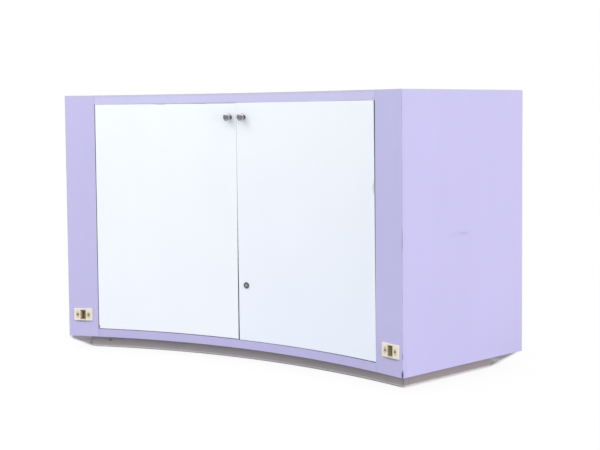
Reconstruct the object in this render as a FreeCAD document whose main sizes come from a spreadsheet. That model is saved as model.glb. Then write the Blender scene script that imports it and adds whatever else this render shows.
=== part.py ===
import FreeCAD, Part
import os
import re

# A curved shop display case, seen in plan as a sector of a ring. The staff side is the concave face
# with two doors, the customer side is the convex face with the glass. +Z is up, -Y faces the staff,
# and the origin is under the middle of the case, on the floor.

doc = FreeCAD.newDocument("CurvedDisplayCase")
sheet = doc.addObject("Spreadsheet::Sheet", "Sizes")

# Driving sizes, in millimetres and degrees
DRIVING = [
    ("body_height", 914, "cabinet above the plinth"),
    ("plinth_height", 52, "plinth under the cabinet"),
    ("staff_radius", 2040, "concave face on the staff side"),
    ("case_depth", 592, "staff face to customer face"),
    ("half_angle", 20, "middle of the case to an end"),
    ("board", 19, "laminated boards"),
    ("plinth_staff_recess", 72, "plinth behind the staff face"),
    ("plinth_end_recess", 64, "plinth inside the ends"),
    ("plinth_customer_recess", 93, "plinth behind the customer face"),
    ("stile_width", 118.5, "stiles, along the arc"),
    ("rail_height", 34, "rails at the top of the case"),
    ("bottom_rail_height", 30, "rail under the doors"),
    ("door_gap", 2.5, "gap round each door"),
    ("meeting_shift", 3.5, "doors' meeting line, left of the middle along the arc"),
    ("edge_bevel", 10, "bevel of the doors' meeting edges, in degrees"),
    ("pivot_inset", 30, "door edge to pivot axis"),
    ("pin_radius", 3, "pivot pins"),
    ("running_gap", 0.05, "radial clearance of turning fits"),
    ("thrust_gap", 0.2, "clearance over the pivot boss"),
    ("pin_length", 12, "pivot pin beyond its leaf"),
    ("leaf_length", 56, "pivot leaves, along the edge"),
    ("leaf_width", 12, "pivot leaves, across the edge"),
    ("leaf_thickness", 2.5, "pivot leaves"),
    ("boss_radius", 6, "thrust boss round a pivot pin"),
    ("leaf_screw_spacing", 40, "screws of a pivot leaf"),
    ("leaf_screw_radius", 1.75, "pivot screw shank"),
    ("leaf_screw_head_radius", 3.2, "pivot screw head"),
    ("leaf_screw_length", 16, "pivot screw"),
    ("leaf_screw_head_height", 2, "pivot screw countersink"),
    ("left_knob_offset", 26.5, "left door's meeting edge to its knob, along the arc"),
    ("right_knob_offset", 29.5, "right door's meeting edge to its knob, along the arc"),
    ("knob_drop", 49, "door's top to knob"),
    ("knob_radius", 14.5, "knob head"),
    ("knob_half_thickness", 9, "knob head, half its thickness"),
    ("knob_reach", 27, "knob out from the door"),
    ("knob_neck_radius", 6, "knob neck"),
    ("knob_foot_radius", 9, "knob foot on the door"),
    ("knob_foot_height", 4, "knob foot"),
    ("knob_hole_depth", 14, "screw hole in the knob"),
    ("knob_screw_radius", 2, "knob screw shank"),
    ("knob_screw_head_radius", 4, "knob screw head"),
    ("knob_screw_head_height", 2.5, "knob screw head"),
    ("seat_gap", 0.05, "round foot over a curved face"),
    ("lock_offset", 34.5, "meeting edge to lock, along the arc"),
    ("lock_drop", 42, "deck's underside to lock"),
    ("lock_face_radius", 11.5, "lock face"),
    ("lock_face_height", 3, "lock face out from the door"),
    ("lock_barrel_radius", 9.5, "lock barrel"),
    ("lock_barrel_reach", 10, "barrel behind the door"),
    ("lock_face_bevel", 1.2, "bevel of the lock face"),
    ("lock_plug_radius", 6, "turning plug"),
    ("lock_tail_radius", 4, "plug's tail in the cam"),
    ("lock_nut_radius", 15, "lock nut, across corners"),
    ("lock_nut_height", 5, "lock nut"),
    ("key_slot_width", 1.8, "key slot"),
    ("key_slot_height", 8, "key slot"),
    ("key_slot_depth", 10, "key slot"),
    ("cam_length", 34, "lock axis to cam tip"),
    ("cam_width", 16, "lock cam"),
    ("cam_thickness", 2.5, "lock cam"),
    ("cam_gap", 0.3, "cam behind the barrel"),
    ("cam_screw_radius", 2, "cam screw shank"),
    ("cam_screw_head_radius", 5, "cam screw head"),
    ("cam_screw_head_height", 2.5, "cam screw head"),
    ("cam_screw_length", 10, "cam screw in the plug"),
    ("strike_width", 30, "lock strike"),
    ("strike_thickness", 2, "lock strike"),
    ("strike_gap", 4, "strike flange behind the door"),
    ("strike_drop", 18, "strike flange under its leaf"),
    ("strike_lap", 26, "strike leaf under the deck"),
    ("deck_height", 272, "deck underside above the cabinet's underside"),
    ("deck_setback", 35, "deck edge behind the doors"),
    ("cleat_size", 19, "cleats under the deck"),
    ("glass_thickness", 6, "curved customer glass"),
    ("top_glass_thickness", 10, "top glass"),
    ("top_glass_gap", 0.5, "round the top glass"),
    ("ledge_width", 28, "curved ledges under the top glass"),
    ("end_ledge_width", 20, "end ledges under the top glass"),
    ("ledge_height", 12, "ledges under the top glass"),
    ("channel_width", 13, "glass channels, across the glass"),
    ("channel_height", 14, "glass channels, over the glass edge"),
    ("channel_wall", 1.5, "glass channels"),
    ("groove_depth", 10, "glass groove in the customer top rail"),
    ("groove_gap", 1, "each side of the glass in the groove"),
    ("glass_head_gap", 2, "over the glass in the groove"),
    ("glass_end_gap", 1, "glass to the end channels"),
    ("shelf_height", 300, "glass shelf above the deck"),
    ("shelf_thickness", 8, "glass shelf"),
    ("shelf_staff_gap", 101, "doors to the shelf"),
    ("shelf_customer_gap", 93, "shelf to the lower panel's inside"),
    ("shelf_end_gap", 2, "shelf to the end panels"),
    ("shelf_rest_width", 18, "shelf rests on the end panels"),
    ("shelf_rest_height", 12, "shelf rests"),
    ("shelf_rest_inset", 10, "rests inside the shelf's edges"),
    ("post_radius", 8, "shelf posts"),
    ("post_foot_radius", 18, "foot of a shelf post"),
    ("post_foot_height", 3, "foot of a shelf post"),
    ("post_angle", 6.5, "shelf posts from the middle"),
    ("light_gap", 2, "light housing to the customer top rail"),
    ("light_width", 26, "light housing"),
    ("light_height", 22, "light housing"),
    ("light_wall", 2, "light housing"),
    ("diffuser_thickness", 2, "light diffuser"),
    ("diffuser_gap", 0.2, "diffuser in the housing"),
    ("lamp_width", 10, "lamp strip"),
    ("lamp_thickness", 3, "lamp strip"),
    ("raceway_width", 9, "wire raceway, off the end panel"),
    ("raceway_depth", 14, "wire raceway"),
    ("raceway_setback", 9, "wire raceway behind the stile"),
    ("raceway_bottom", 40, "wire raceway above the base panel"),
    ("left_socket_height", 83.5, "left socket above the cabinet's underside"),
    ("right_socket_height", 81, "right socket above the cabinet's underside"),
    ("left_socket_offset", 58.5, "left end to socket, along the arc"),
    ("right_socket_offset", 52, "right end to socket, along the arc"),
    ("plate_length", 75, "socket plate"),
    ("plate_height", 46, "socket plate"),
    ("plate_thickness", 4.5, "socket plate"),
    ("plate_edge", 2, "rounding of the plate's face"),
    ("insert_length", 23, "socket insert"),
    ("insert_height", 37, "socket insert"),
    ("insert_depth", 30, "socket insert"),
    ("insert_wall", 1.5, "socket insert"),
    ("rib_reach", 2, "socket ribs into the recess"),
    ("rib_height", 3, "socket ribs"),
    ("rib_spacing", 8, "socket ribs"),
    ("rib_setback", 3, "socket ribs behind the mouth"),
    ("rib_depth", 20, "socket ribs"),
    ("insert_gap", 1.5, "round the insert in the stile"),
    ("socket_box_length", 60, "steel box behind a stile"),
    ("socket_box_height", 52, "steel box behind a stile"),
    ("socket_box_depth", 45, "steel box behind a stile"),
    ("socket_box_wall", 1.5, "steel box behind a stile"),
    ("plate_screw_spacing", 43.5, "screws of a socket plate"),
    ("plate_screw_radius", 1.9, "plate screw shank"),
    ("plate_screw_head_radius", 3.6, "plate screw head"),
    ("plate_screw_head_height", 2, "plate screw countersink"),
    ("plate_screw_length", 18, "plate screw"),
    ("catch_offset", 161, "middle of the case to a catch, along the arc"),
    ("catch_length", 34, "magnetic catch"),
    ("catch_depth", 22, "magnetic catch"),
    ("catch_height", 40, "magnetic catch under the ledge"),
    ("catch_gap", 0.3, "catch to its strike"),
    ("catch_strike_length", 26, "strike of a catch"),
    ("catch_strike_height", 16, "strike of a catch"),
    ("catch_strike_thickness", 1.5, "strike of a catch"),
    ("catch_strike_drop", 4, "strike below the door's top"),
    ("bolt_offset", 81, "middle of the case to the bolt, along the arc"),
    ("bolt_radius", 4, "bolt rod"),
    ("bolt_plate_length", 22, "bolt plate, along the arc"),
    ("bolt_plate_height", 80, "bolt plate"),
    ("bolt_plate_thickness", 2, "bolt plate"),
    ("bolt_drop", 6, "bolt plate below the door's top"),
    ("bolt_tip", 3, "rod above its plate at rest"),
    ("bolt_collar_length", 16, "bolt collars, along the arc"),
    ("bolt_collar_depth", 13, "bolt collars, off the plate"),
    ("bolt_collar_height", 14, "bolt collars"),
    ("bolt_knob_radius", 3, "knob of the bolt"),
    ("bolt_knob_reach", 14, "knob of the bolt"),
    ("bolt_knob_gap", 10, "bolt knob over the lower collar"),
    ("bolt_strike_length", 26, "bolt strike, along the arc"),
    ("bolt_strike_gap", 0.4, "rod in its strike"),
]

# Sizes that follow from them
DERIVED = [
    ("customer_radius", "staff_radius + case_depth", "convex face on the customer side"),
    ("ring_y", "-(customer_radius + staff_radius * cos(half_angle)) / 2", "ring centre"),
    ("case_top", "plinth_height + body_height", "top of the case"),
    ("frame_back", "staff_radius + board", "back of the face frame and doors"),
    ("cut_start", "staff_radius - board", "cutting tools, clear of the staff face"),
    ("cut_length", "3 * board", "cutting tools, right through a board"),
    ("customer_inside", "customer_radius - board", "inside of the customer boards"),
    ("degrees_per_arc", "180 / pi / staff_radius", "angle of a millimetre of the staff face"),
    ("stile_edge", "half_angle - stile_width * degrees_per_arc", "stile's inner edge"),
    ("door_edge", "stile_edge - door_gap * degrees_per_arc", "door's outer edge"),
    ("left_meeting", "-(meeting_shift + door_gap / 2) * degrees_per_arc", "left door's inner edge"),
    ("right_meeting", "(door_gap / 2 - meeting_shift) * degrees_per_arc", "right door's inner edge"),
    ("rail_top", "plinth_height + bottom_rail_height", "top of the bottom rail"),
    ("head_rail", "case_top - rail_height", "underside of the top rail"),
    ("door_bottom", "rail_top + door_gap", "underside of the doors"),
    ("door_top", "head_rail - door_gap", "top of the doors"),
    ("pivot_radius", "staff_radius + board / 2", "ring radius of the pivots"),
    ("pivot_at", "door_edge - pivot_inset * degrees_per_arc", "angle of the pivots"),
    ("deck_bottom", "plinth_height + deck_height", "underside of the deck"),
    ("deck_top", "deck_bottom + board", "top of the deck"),
    ("deck_edge", "frame_back + deck_setback", "staff edge of the deck"),
    ("ledge_top", "case_top - top_glass_thickness", "top of the ledges"),
    ("ledge_bottom", "ledge_top - ledge_height", "underside of the ledges"),
    ("glass_middle", "customer_radius - board / 2", "middle of the customer glass"),
    ("sill_top", "deck_top + channel_height", "top of the sill channel"),
    ("glass_bottom", "deck_top + channel_wall", "foot of the customer glass"),
    ("glass_top", "head_rail + groove_depth - glass_head_gap", "head of the customer glass"),
    ("shelf_bottom", "deck_top + shelf_height", "underside of the shelf"),
    ("light_outer", "customer_inside - light_gap", "outside of the light housing"),
    ("light_inner", "light_outer - light_width", "inside of the light housing"),
    ("light_bottom", "ledge_bottom - light_height", "underside of the light housing"),
    ("knob_z", "door_top - knob_drop", "knob axis"),
    ("left_knob_at", "left_meeting - left_knob_offset * degrees_per_arc", "left knob axis"),
    ("right_knob_at", "right_meeting + right_knob_offset * degrees_per_arc", "right knob axis"),
    ("lock_z", "deck_bottom - lock_drop", "lock axis"),
    ("lock_at", "right_meeting + lock_offset * degrees_per_arc", "lock axis"),
    ("barrel_back", "frame_back + lock_barrel_reach", "back end of the lock barrel"),
    ("cam_front", "barrel_back + cam_gap", "front of the cam"),
    ("cam_back", "cam_front + cam_thickness", "back of the cam"),
    ("left_socket_z", "plinth_height + left_socket_height", "middle of the left socket"),
    ("right_socket_z", "plinth_height + right_socket_height", "middle of the right socket"),
    ("plate_back", "sqrt(staff_radius ^ 2 - plate_length ^ 2 / 4)", "plate's back on the stile"),
    ("plate_front", "plate_back - plate_thickness", "plate's face"),
    ("catch_at", "catch_offset * degrees_per_arc", "catches"),
    ("bolt_at", "-bolt_offset * degrees_per_arc", "bolt"),
    ("bolt_plate_top", "door_top - bolt_drop", "top of the bolt plate"),
    ("bolt_plate_bottom", "bolt_plate_top - bolt_plate_height", "bottom of the bolt plate"),
    ("bolt_plate_back", "frame_back + bolt_plate_thickness", "face of the bolt plate"),
    ("bolt_axis", "bolt_plate_back + bolt_collar_depth / 2", "ring radius of the bolt rod"),
]

row = 0
aliases = set()
for alias, value, meaning in DRIVING:
    row += 1
    sheet.set(f"A{row}", meaning)
    sheet.set(f"B{row}", str(value))
    sheet.setAlias(f"B{row}", alias)
    aliases.add(alias)
for alias, formula, meaning in DERIVED:
    row += 1
    sheet.set(f"A{row}", meaning)
    sheet.set(f"B{row}", "=" + formula)
    sheet.setAlias(f"B{row}", alias)
    aliases.add(alias)
doc.recompute()

nodes = []


def from_sheet(expression):
    """Puts the sheet's name before each of its aliases in an expression."""
    def with_sheet(word):
        return "Sizes." + word[0] if word[0] in aliases else word[0]

    return re.sub(r"[a-z]\w*", with_sheet, expression)


def bind(piece, **expressions):
    for name, expression in expressions.items():
        piece.setExpression(name, from_sheet(expression))
    return piece


def place(piece, angle, along, out, up, turn="rotationz(0)"):
    """Seats a piece on the ring: at an angle from the middle, then along the tangent, out from the
    ring's centre, and up. turn is a rotation of the piece on the spot, before that."""
    x = f"({along}) * cos({angle}) + ({out}) * sin({angle})"
    y = f"ring_y - ({along}) * sin({angle}) + ({out}) * cos({angle})"
    where = f"placement(vector({x}; {y}; {up}); rotationz(-({angle})) * {turn})"
    return bind(piece, Placement=where)


def box(name, angle, along, out, up, length, width, height, turn="rotationz(0)"):
    """A box in the ring: its low corner, then its length along the tangent, width outwards and height.
    A turn is about its low corner."""
    piece = doc.addObject("Part::Box", name)
    bind(piece, Length=length, Width=width, Height=height)
    return place(piece, angle, along, out, up, turn)


def upright(name, angle, along, out, up, radius, height):
    """A vertical cylinder."""
    piece = doc.addObject("Part::Cylinder", name)
    bind(piece, Radius=radius, Height=height)
    return place(piece, angle, along, out, up)


def outward(name, angle, along, out, up, radius, length):
    """A cylinder whose axis points out from the ring's centre."""
    piece = doc.addObject("Part::Cylinder", name)
    bind(piece, Radius=radius, Height=length)
    return place(piece, angle, along, out, up, "rotationx(-90)")


def cut(name, base, tools):
    """Base with the tools cut away."""
    piece = doc.addObject("Part::Cut", name)
    piece.Base = base
    piece.Tool = tools[0] if len(tools) == 1 else fuse(name + "_tools", tools)
    return piece


def fuse(name, pieces):
    """Touching or overlapping pieces made one solid."""
    piece = doc.addObject("Part::MultiFuse", name)
    piece.Shapes = pieces
    return piece


def group(name, pieces):
    """Separate like solids in one node."""
    piece = doc.addObject("Part::Compound", name)
    piece.Links = pieces
    return piece


def node(label, piece):
    """Marks a finished sub-part and gives it its name."""
    piece.Label = label
    nodes.append(piece)
    return piece


def ring(name, inner, outer, bottom, height, start, end):
    """A curved board between two radii and two angles."""
    outside = doc.addObject("Part::Cylinder", name + "_outside")
    bind(outside, Radius=outer, Height=height, Angle=f"({end}) - ({start})")
    inside = doc.addObject("Part::Cylinder", name + "_inside")
    bind(inside, Radius=inner, Height=height)
    piece = cut(name, outside, [inside])
    where = f"placement(vector(0; ring_y; {bottom}); rotationz(90 - ({end})))"
    return bind(piece, Placement=where)


def between_ends(name, inner, outer, bottom, height, inset):
    """A curved board across the case, with its ends parallel to the end panels and inset from the
    case's ends."""
    board = ring(name + "_ring", inner, outer, bottom, height, "-half_angle", "half_angle")
    width = f"board + {inset}"
    length = f"{outer} + board"
    left = box(name + "_left", "-half_angle", "-board", "0", bottom, width, length, height)
    right = box(name + "_right", "half_angle", f"-({inset})", "0", bottom, width, length, height)
    return cut(name, board, [left, right])


def rounded_face(name, blank, radius):
    """A box with the edges of its staff face rounded."""
    doc.recompute()
    to_box = blank.Placement.inverse()
    edges = []
    for number, edge in enumerate(blank.Shape.Edges, start=1):
        depth = max(to_box.multVec(corner.Point).y for corner in edge.Vertexes)
        if abs(depth) < blank.Width.Value / 2:
            edges.append((number, radius, radius))
    piece = doc.addObject("Part::Fillet", name)
    piece.Base = blank
    piece.Edges = edges
    return piece


def screw(name, angle, along, out, up, sizes, down):
    """An upright countersunk screw, its head's face at the given height, pointing down or up."""
    shank_radius = f"{sizes}_radius"
    head_radius = f"{sizes}_head_radius"
    head_height = f"{sizes}_head_height"
    length = f"{sizes}_length"
    head = doc.addObject("Part::Cone", name + "_head")
    head_low = f"{up} - {head_height}" if down else up
    bind(head, Radius1=shank_radius if down else head_radius)
    bind(head, Radius2=head_radius if down else shank_radius, Height=head_height)
    place(head, angle, along, out, head_low)
    shank_low = f"{up} - {length}" if down else f"{up} + {head_height}"
    shank = upright(name + "_shank", angle, along, out, shank_low, shank_radius,
                    f"{length} - {head_height}")
    return fuse(name, [head, shank])


# Plinth: four boards under the case, set back on every side, and a rib across the middle
staff_board_inner = "staff_radius + plinth_staff_recess"
staff_board_outer = f"{staff_board_inner} + board"
customer_board_outer = "customer_radius - plinth_customer_recess"
customer_board_inner = f"{customer_board_outer} - board"
staff_board_end = f"half_angle - asin(plinth_end_recess / ({staff_board_inner})) / 1 deg"
customer_board_end = f"half_angle - asin(plinth_end_recess / ({customer_board_inner})) / 1 deg"
node("plinth_staff_board", ring("plinth_staff_board", staff_board_inner, staff_board_outer, "0",
                                "plinth_height", f"-({staff_board_end})", staff_board_end))
node("plinth_customer_board", ring("plinth_customer_board", customer_board_inner, customer_board_outer, "0",
                                   "plinth_height", f"-({customer_board_end})", customer_board_end))
plinth_end_start = f"sqrt(({staff_board_outer}) ^ 2 - plinth_end_recess ^ 2)"
plinth_end_stop = f"sqrt(({customer_board_inner}) ^ 2 - (plinth_end_recess + board) ^ 2)"
plinth_end_length = f"{plinth_end_stop} - {plinth_end_start}"
node("plinth_left_board", box("plinth_left_board", "-half_angle", "plinth_end_recess",
                              plinth_end_start, "0", "board", plinth_end_length, "plinth_height"))
node("plinth_right_board", box("plinth_right_board", "half_angle", "-plinth_end_recess - board",
                               plinth_end_start, "0", "board", plinth_end_length, "plinth_height"))
rib_stop = f"sqrt(({customer_board_inner}) ^ 2 - board ^ 2 / 4)"
node("plinth_rib", box("plinth_rib", "0", "-board / 2", staff_board_outer, "0",
                       "board", f"{rib_stop} - ({staff_board_outer})", "plinth_height"))

# Base panel and end panels: the case's floor, and a flat board on each radial end
node("base_panel", between_ends("base_panel", "frame_back", "customer_inside", "plinth_height",
                                "board", "board"))
end_length = "customer_radius - frame_back"
node("left_end_panel", box("left_end_panel", "-half_angle", "0", "frame_back", "plinth_height",
                           "board", end_length, "body_height"))
node("right_end_panel", box("right_end_panel", "half_angle", "-board", "frame_back", "plinth_height",
                            "board", end_length, "body_height"))

# Pivot hinges: in each rail a leaf with a boss and a pin, in each door edge a leaf with a hole
frame_leaves = []
frame_leaf_screws = []
door_leaves = {"left": [], "right": []}
door_leaf_screws = {"left": [], "right": []}
door_pivot_cuts = {"left": [], "right": []}
beds = {"bottom": [], "top": []}
for side, sign in (("left", "-"), ("right", "")):
    angle = f"{sign}pivot_at"
    for end in ("bottom", "top"):
        name = f"{side}_{end}_pivot"
        at_bottom = end == "bottom"
        frame_face = "rail_top" if at_bottom else "head_rail"
        door_face = "door_bottom" if at_bottom else "door_top"
        frame_low = "rail_top - leaf_thickness" if at_bottom else "head_rail"
        door_low = "door_bottom" if at_bottom else "door_top - leaf_thickness"
        boss_low = "rail_top" if at_bottom else "door_top + thrust_gap"
        pin_low = "rail_top" if at_bottom else "head_rail - pin_length"
        room_length = "pin_length - door_gap + thrust_gap"
        room_low = "door_bottom" if at_bottom else f"door_top - ({room_length})"
        corner = ("-leaf_length / 2", "pivot_radius - leaf_width / 2")
        size = ("leaf_length", "leaf_width", "leaf_thickness")
        frame_plate = box(name + "_frame_plate", angle, *corner, frame_low, *size)
        boss = upright(name + "_boss", angle, "0", "pivot_radius", boss_low,
                       "boss_radius", "door_gap - thrust_gap")
        pin = upright(name + "_pin", angle, "0", "pivot_radius", pin_low, "pin_radius", "pin_length")
        frame_blank = fuse(name + "_frame_blank", [frame_plate, boss, pin])
        door_plate = box(name + "_door_plate", angle, *corner, door_low, *size)
        pin_room = upright(name + "_pin_room", angle, "0", "pivot_radius", room_low,
                           "pin_radius + running_gap", room_length)
        frame_screws = []
        door_screws = []
        for hand, along in (("a", "-leaf_screw_spacing / 2"), ("b", "leaf_screw_spacing / 2")):
            frame_screws.append(screw(f"{name}_frame_screw_{hand}", angle, along, "pivot_radius",
                                      frame_face, "leaf_screw", at_bottom))
            door_screws.append(screw(f"{name}_door_screw_{hand}", angle, along, "pivot_radius",
                                     door_face, "leaf_screw", not at_bottom))
        frame_leaves.append(cut(name + "_frame_leaf", frame_blank, frame_screws))
        door_leaves[side].append(cut(name + "_door_leaf", door_plate, [pin_room] + door_screws))
        beds[end] += [frame_plate] + frame_screws
        frame_leaf_screws += frame_screws
        door_pivot_cuts[side] += [door_plate, pin_room] + door_screws
        door_leaf_screws[side] += door_screws

# Sockets: steel box, insert with ribs and a rounded plate on each stile, and the plate's screws
socket_boxes = []
plate_screws = []
stile_cuts = {}
socket_angles = {
    "left": "-half_angle + left_socket_offset * degrees_per_arc",
    "right": "half_angle - right_socket_offset * degrees_per_arc",
}
for side, angle in socket_angles.items():
    name = side + "_socket"
    middle = side + "_socket_z"
    insert_corner = ("-insert_length / 2", "plate_front", f"{middle} - insert_height / 2")
    insert_blank = box(name + "_insert_blank", angle, *insert_corner,
                       "insert_length", "insert_depth", "insert_height")
    recess = box(name + "_recess", angle, "-insert_length / 2 + insert_wall", "plate_front",
                 f"{middle} - insert_height / 2 + insert_wall", "insert_length - 2 * insert_wall",
                 "insert_depth - insert_wall", "insert_height - 2 * insert_wall")
    shell = cut(name + "_shell", insert_blank, [recess])
    ribs = []
    for wall, along in (("near", "-insert_length / 2 + insert_wall"),
                        ("far", "insert_length / 2 - insert_wall - rib_reach")):
        for level in (-1, 0, 1):
            ribs.append(box(f"{name}_rib_{wall}_{level + 1}", angle, along, "plate_front + rib_setback",
                            f"{middle} + {level} * rib_spacing - rib_height / 2",
                            "rib_reach", "rib_depth", "rib_height"))
    node(name + "_insert", fuse(name + "_insert", [shell] + ribs))
    plate_blank = box(name + "_plate_blank", angle, "-plate_length / 2", "plate_front",
                      f"{middle} - plate_height / 2", "plate_length", "plate_thickness", "plate_height")
    screws = []
    for hand, along in (("a", "-plate_screw_spacing / 2"), ("b", "plate_screw_spacing / 2")):
        head = doc.addObject("Part::Cone", f"{name}_screw_head_{hand}")
        bind(head, Radius1="plate_screw_head_radius", Radius2="plate_screw_radius",
             Height="plate_screw_head_height")
        place(head, angle, along, "plate_front", middle, "rotationx(-90)")
        shank = outward(f"{name}_screw_shank_{hand}", angle, along,
                        "plate_front + plate_screw_head_height", middle, "plate_screw_radius",
                        "plate_screw_length - plate_screw_head_height")
        screws.append(fuse(f"{name}_screw_{hand}", [head, shank]))
    plate_screws += screws
    rounded = rounded_face(name + "_plate_rounded", plate_blank, sheet.plate_edge)
    node(name + "_plate", cut(name + "_plate", rounded, [insert_blank] + screws))
    opening = box(name + "_opening", angle, "-insert_length / 2 - insert_gap", "cut_start",
                  f"{middle} - insert_height / 2 - insert_gap", "insert_length + 2 * insert_gap",
                  "cut_length", "insert_height + 2 * insert_gap")
    stile_cuts[side] = [opening] + screws
    outer_box = box(name + "_box_blank", angle, "-socket_box_length / 2", "frame_back",
                    f"{middle} - socket_box_height / 2", "socket_box_length", "socket_box_depth",
                    "socket_box_height")
    inner_box = box(name + "_box_room", angle, "-socket_box_length / 2 + socket_box_wall", "frame_back",
                    f"{middle} - socket_box_height / 2 + socket_box_wall",
                    "socket_box_length - 2 * socket_box_wall", "socket_box_depth - socket_box_wall",
                    "socket_box_height - 2 * socket_box_wall")
    socket_boxes.append(cut(name + "_box", outer_box, [inner_box]))
node("socket_boxes", group("socket_boxes", socket_boxes))
node("socket_plate_screws", group("socket_plate_screws", plate_screws))

# Face frame: two full-height stiles that cover the end panels' edges, and two rails between them
left_blank = ring("left_stile_blank", "staff_radius", "frame_back", "plinth_height", "body_height",
                  "-half_angle", "-stile_edge")
node("left_stile", cut("left_stile", left_blank, stile_cuts["left"]))
right_blank = ring("right_stile_blank", "staff_radius", "frame_back", "plinth_height", "body_height",
                   "stile_edge", "half_angle")
node("right_stile", cut("right_stile", right_blank, stile_cuts["right"]))
bottom_blank = ring("bottom_rail_blank", "staff_radius", "frame_back", "plinth_height",
                    "bottom_rail_height", "-stile_edge", "stile_edge")
node("bottom_rail", cut("bottom_rail", bottom_blank, beds["bottom"]))
top_blank = ring("top_rail_blank", "staff_radius", "frame_back", "head_rail", "rail_height",
                 "-stile_edge", "stile_edge")
node("top_rail", cut("top_rail", top_blank, beds["top"]))
node("frame_pivot_leaves", group("frame_pivot_leaves", frame_leaves))
node("frame_pivot_screws", group("frame_pivot_screws", frame_leaf_screws))

# Customer side: lower panel, deck on cleats, top rail, and the curved glass in its channels
node("customer_lower_panel", between_ends("customer_lower_panel", "customer_inside", "customer_radius",
                                          "plinth_height", "deck_height + board", "board"))
node("display_deck", between_ends("display_deck", "deck_edge", "customer_inside", "deck_bottom",
                                  "board", "board"))
cleat_low = "deck_bottom - cleat_size"
cleat_ring_inner = "customer_inside - cleat_size"
cleat_stop = f"sqrt(({cleat_ring_inner}) ^ 2 - (board + cleat_size) ^ 2)"
cleat_length = f"{cleat_stop} - deck_edge"
node("deck_cleats", group("deck_cleats", [
    box("left_cleat", "-half_angle", "board", "deck_edge", cleat_low,
        "cleat_size", cleat_length, "cleat_size"),
    box("right_cleat", "half_angle", "-board - cleat_size", "deck_edge", cleat_low,
        "cleat_size", cleat_length, "cleat_size"),
    between_ends("customer_cleat", cleat_ring_inner, "customer_inside", cleat_low, "cleat_size", "board"),
]))
channel_inner = "glass_middle - channel_width / 2"
channel_outer = "glass_middle + channel_width / 2"
sill_blank = between_ends("sill_blank", channel_inner, channel_outer, "deck_top", "channel_height", "board")
sill_room = ring("sill_room", f"{channel_inner} + channel_wall", f"{channel_outer} - channel_wall",
                 "glass_bottom", "channel_height", "-half_angle", "half_angle")
node("glass_sill_channel", cut("glass_sill_channel", sill_blank, [sill_room]))
end_channels = []
for side, angle, along, slot_along in (
        ("left", "-half_angle", "board", "board + channel_wall"),
        ("right", "half_angle", "-board - channel_height", "-board - channel_height - channel_wall")):
    channel = box(side + "_channel_blank", angle, along, channel_inner, "sill_top",
                  "channel_height", "channel_width", "head_rail - sill_top")
    slot = box(side + "_channel_slot", angle, slot_along, f"{channel_inner} + channel_wall", "sill_top",
               "channel_height", "channel_width - 2 * channel_wall", "head_rail - sill_top")
    end_channels.append(cut(side + "_glass_channel", channel, [slot]))
node("glass_end_channels", group("glass_end_channels", end_channels))
node("customer_glass", between_ends("customer_glass", "glass_middle - glass_thickness / 2",
                                    "glass_middle + glass_thickness / 2", "glass_bottom",
                                    "glass_top - glass_bottom", "board + channel_wall + glass_end_gap"))
rail_blank = between_ends("customer_rail_blank", "customer_inside", "customer_radius", "head_rail",
                          "rail_height", "board")
groove = ring("customer_rail_groove", "glass_middle - glass_thickness / 2 - groove_gap",
              "glass_middle + glass_thickness / 2 + groove_gap", "head_rail", "groove_depth",
              "-half_angle", "half_angle")
node("customer_top_rail", cut("customer_top_rail", rail_blank, [groove]))

# Top glass: lies inside the frame, flush with its top, on a ledge along each side
node("staff_ledge", between_ends("staff_ledge", "frame_back", "frame_back + ledge_width", "ledge_bottom",
                                 "ledge_height", "board"))
node("customer_ledge", between_ends("customer_ledge", "customer_inside - ledge_width", "customer_inside",
                                    "ledge_bottom", "ledge_height", "board"))
end_ledge_stop = "sqrt((customer_inside - ledge_width) ^ 2 - (board + end_ledge_width) ^ 2)"
end_ledge_length = f"{end_ledge_stop} - frame_back - ledge_width"
node("end_ledges", group("end_ledges", [
    box("left_ledge", "-half_angle", "board", "frame_back + ledge_width", "ledge_bottom",
        "end_ledge_width", end_ledge_length, "ledge_height"),
    box("right_ledge", "half_angle", "-board - end_ledge_width", "frame_back + ledge_width", "ledge_bottom",
        "end_ledge_width", end_ledge_length, "ledge_height"),
]))
node("top_glass", between_ends("top_glass", "frame_back + top_glass_gap", "customer_inside - top_glass_gap",
                               "ledge_top", "top_glass_thickness", "board + top_glass_gap"))

# Shelf: curved glass on a rest at each end and two posts from the deck
shelf_inner = "frame_back + shelf_staff_gap"
shelf_outer = "customer_inside - shelf_customer_gap"
node("glass_shelf", between_ends("glass_shelf", shelf_inner, shelf_outer, "shelf_bottom", "shelf_thickness",
                                 "board + shelf_end_gap"))
rest_low = "shelf_bottom - shelf_rest_height"
rest_start = f"{shelf_inner} + shelf_rest_inset"
rest_length = f"{shelf_outer} - ({shelf_inner}) - 2 * shelf_rest_inset"
node("shelf_end_rests", group("shelf_end_rests", [
    box("left_rest", "-half_angle", "board", rest_start, rest_low,
        "shelf_rest_width", rest_length, "shelf_rest_height"),
    box("right_rest", "half_angle", "-board - shelf_rest_width", rest_start, rest_low,
        "shelf_rest_width", rest_length, "shelf_rest_height"),
]))
post_out = f"({shelf_inner} + {shelf_outer}) / 2"
posts = []
for side, angle in (("left", "-post_angle"), ("right", "post_angle")):
    stem = upright(side + "_post_stem", angle, "0", post_out, "deck_top", "post_radius", "shelf_height")
    foot = upright(side + "_post_foot", angle, "0", post_out, "deck_top", "post_foot_radius",
                   "post_foot_height")
    posts.append(fuse(side + "_post", [stem, foot]))
node("shelf_posts", group("shelf_posts", posts))

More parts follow.
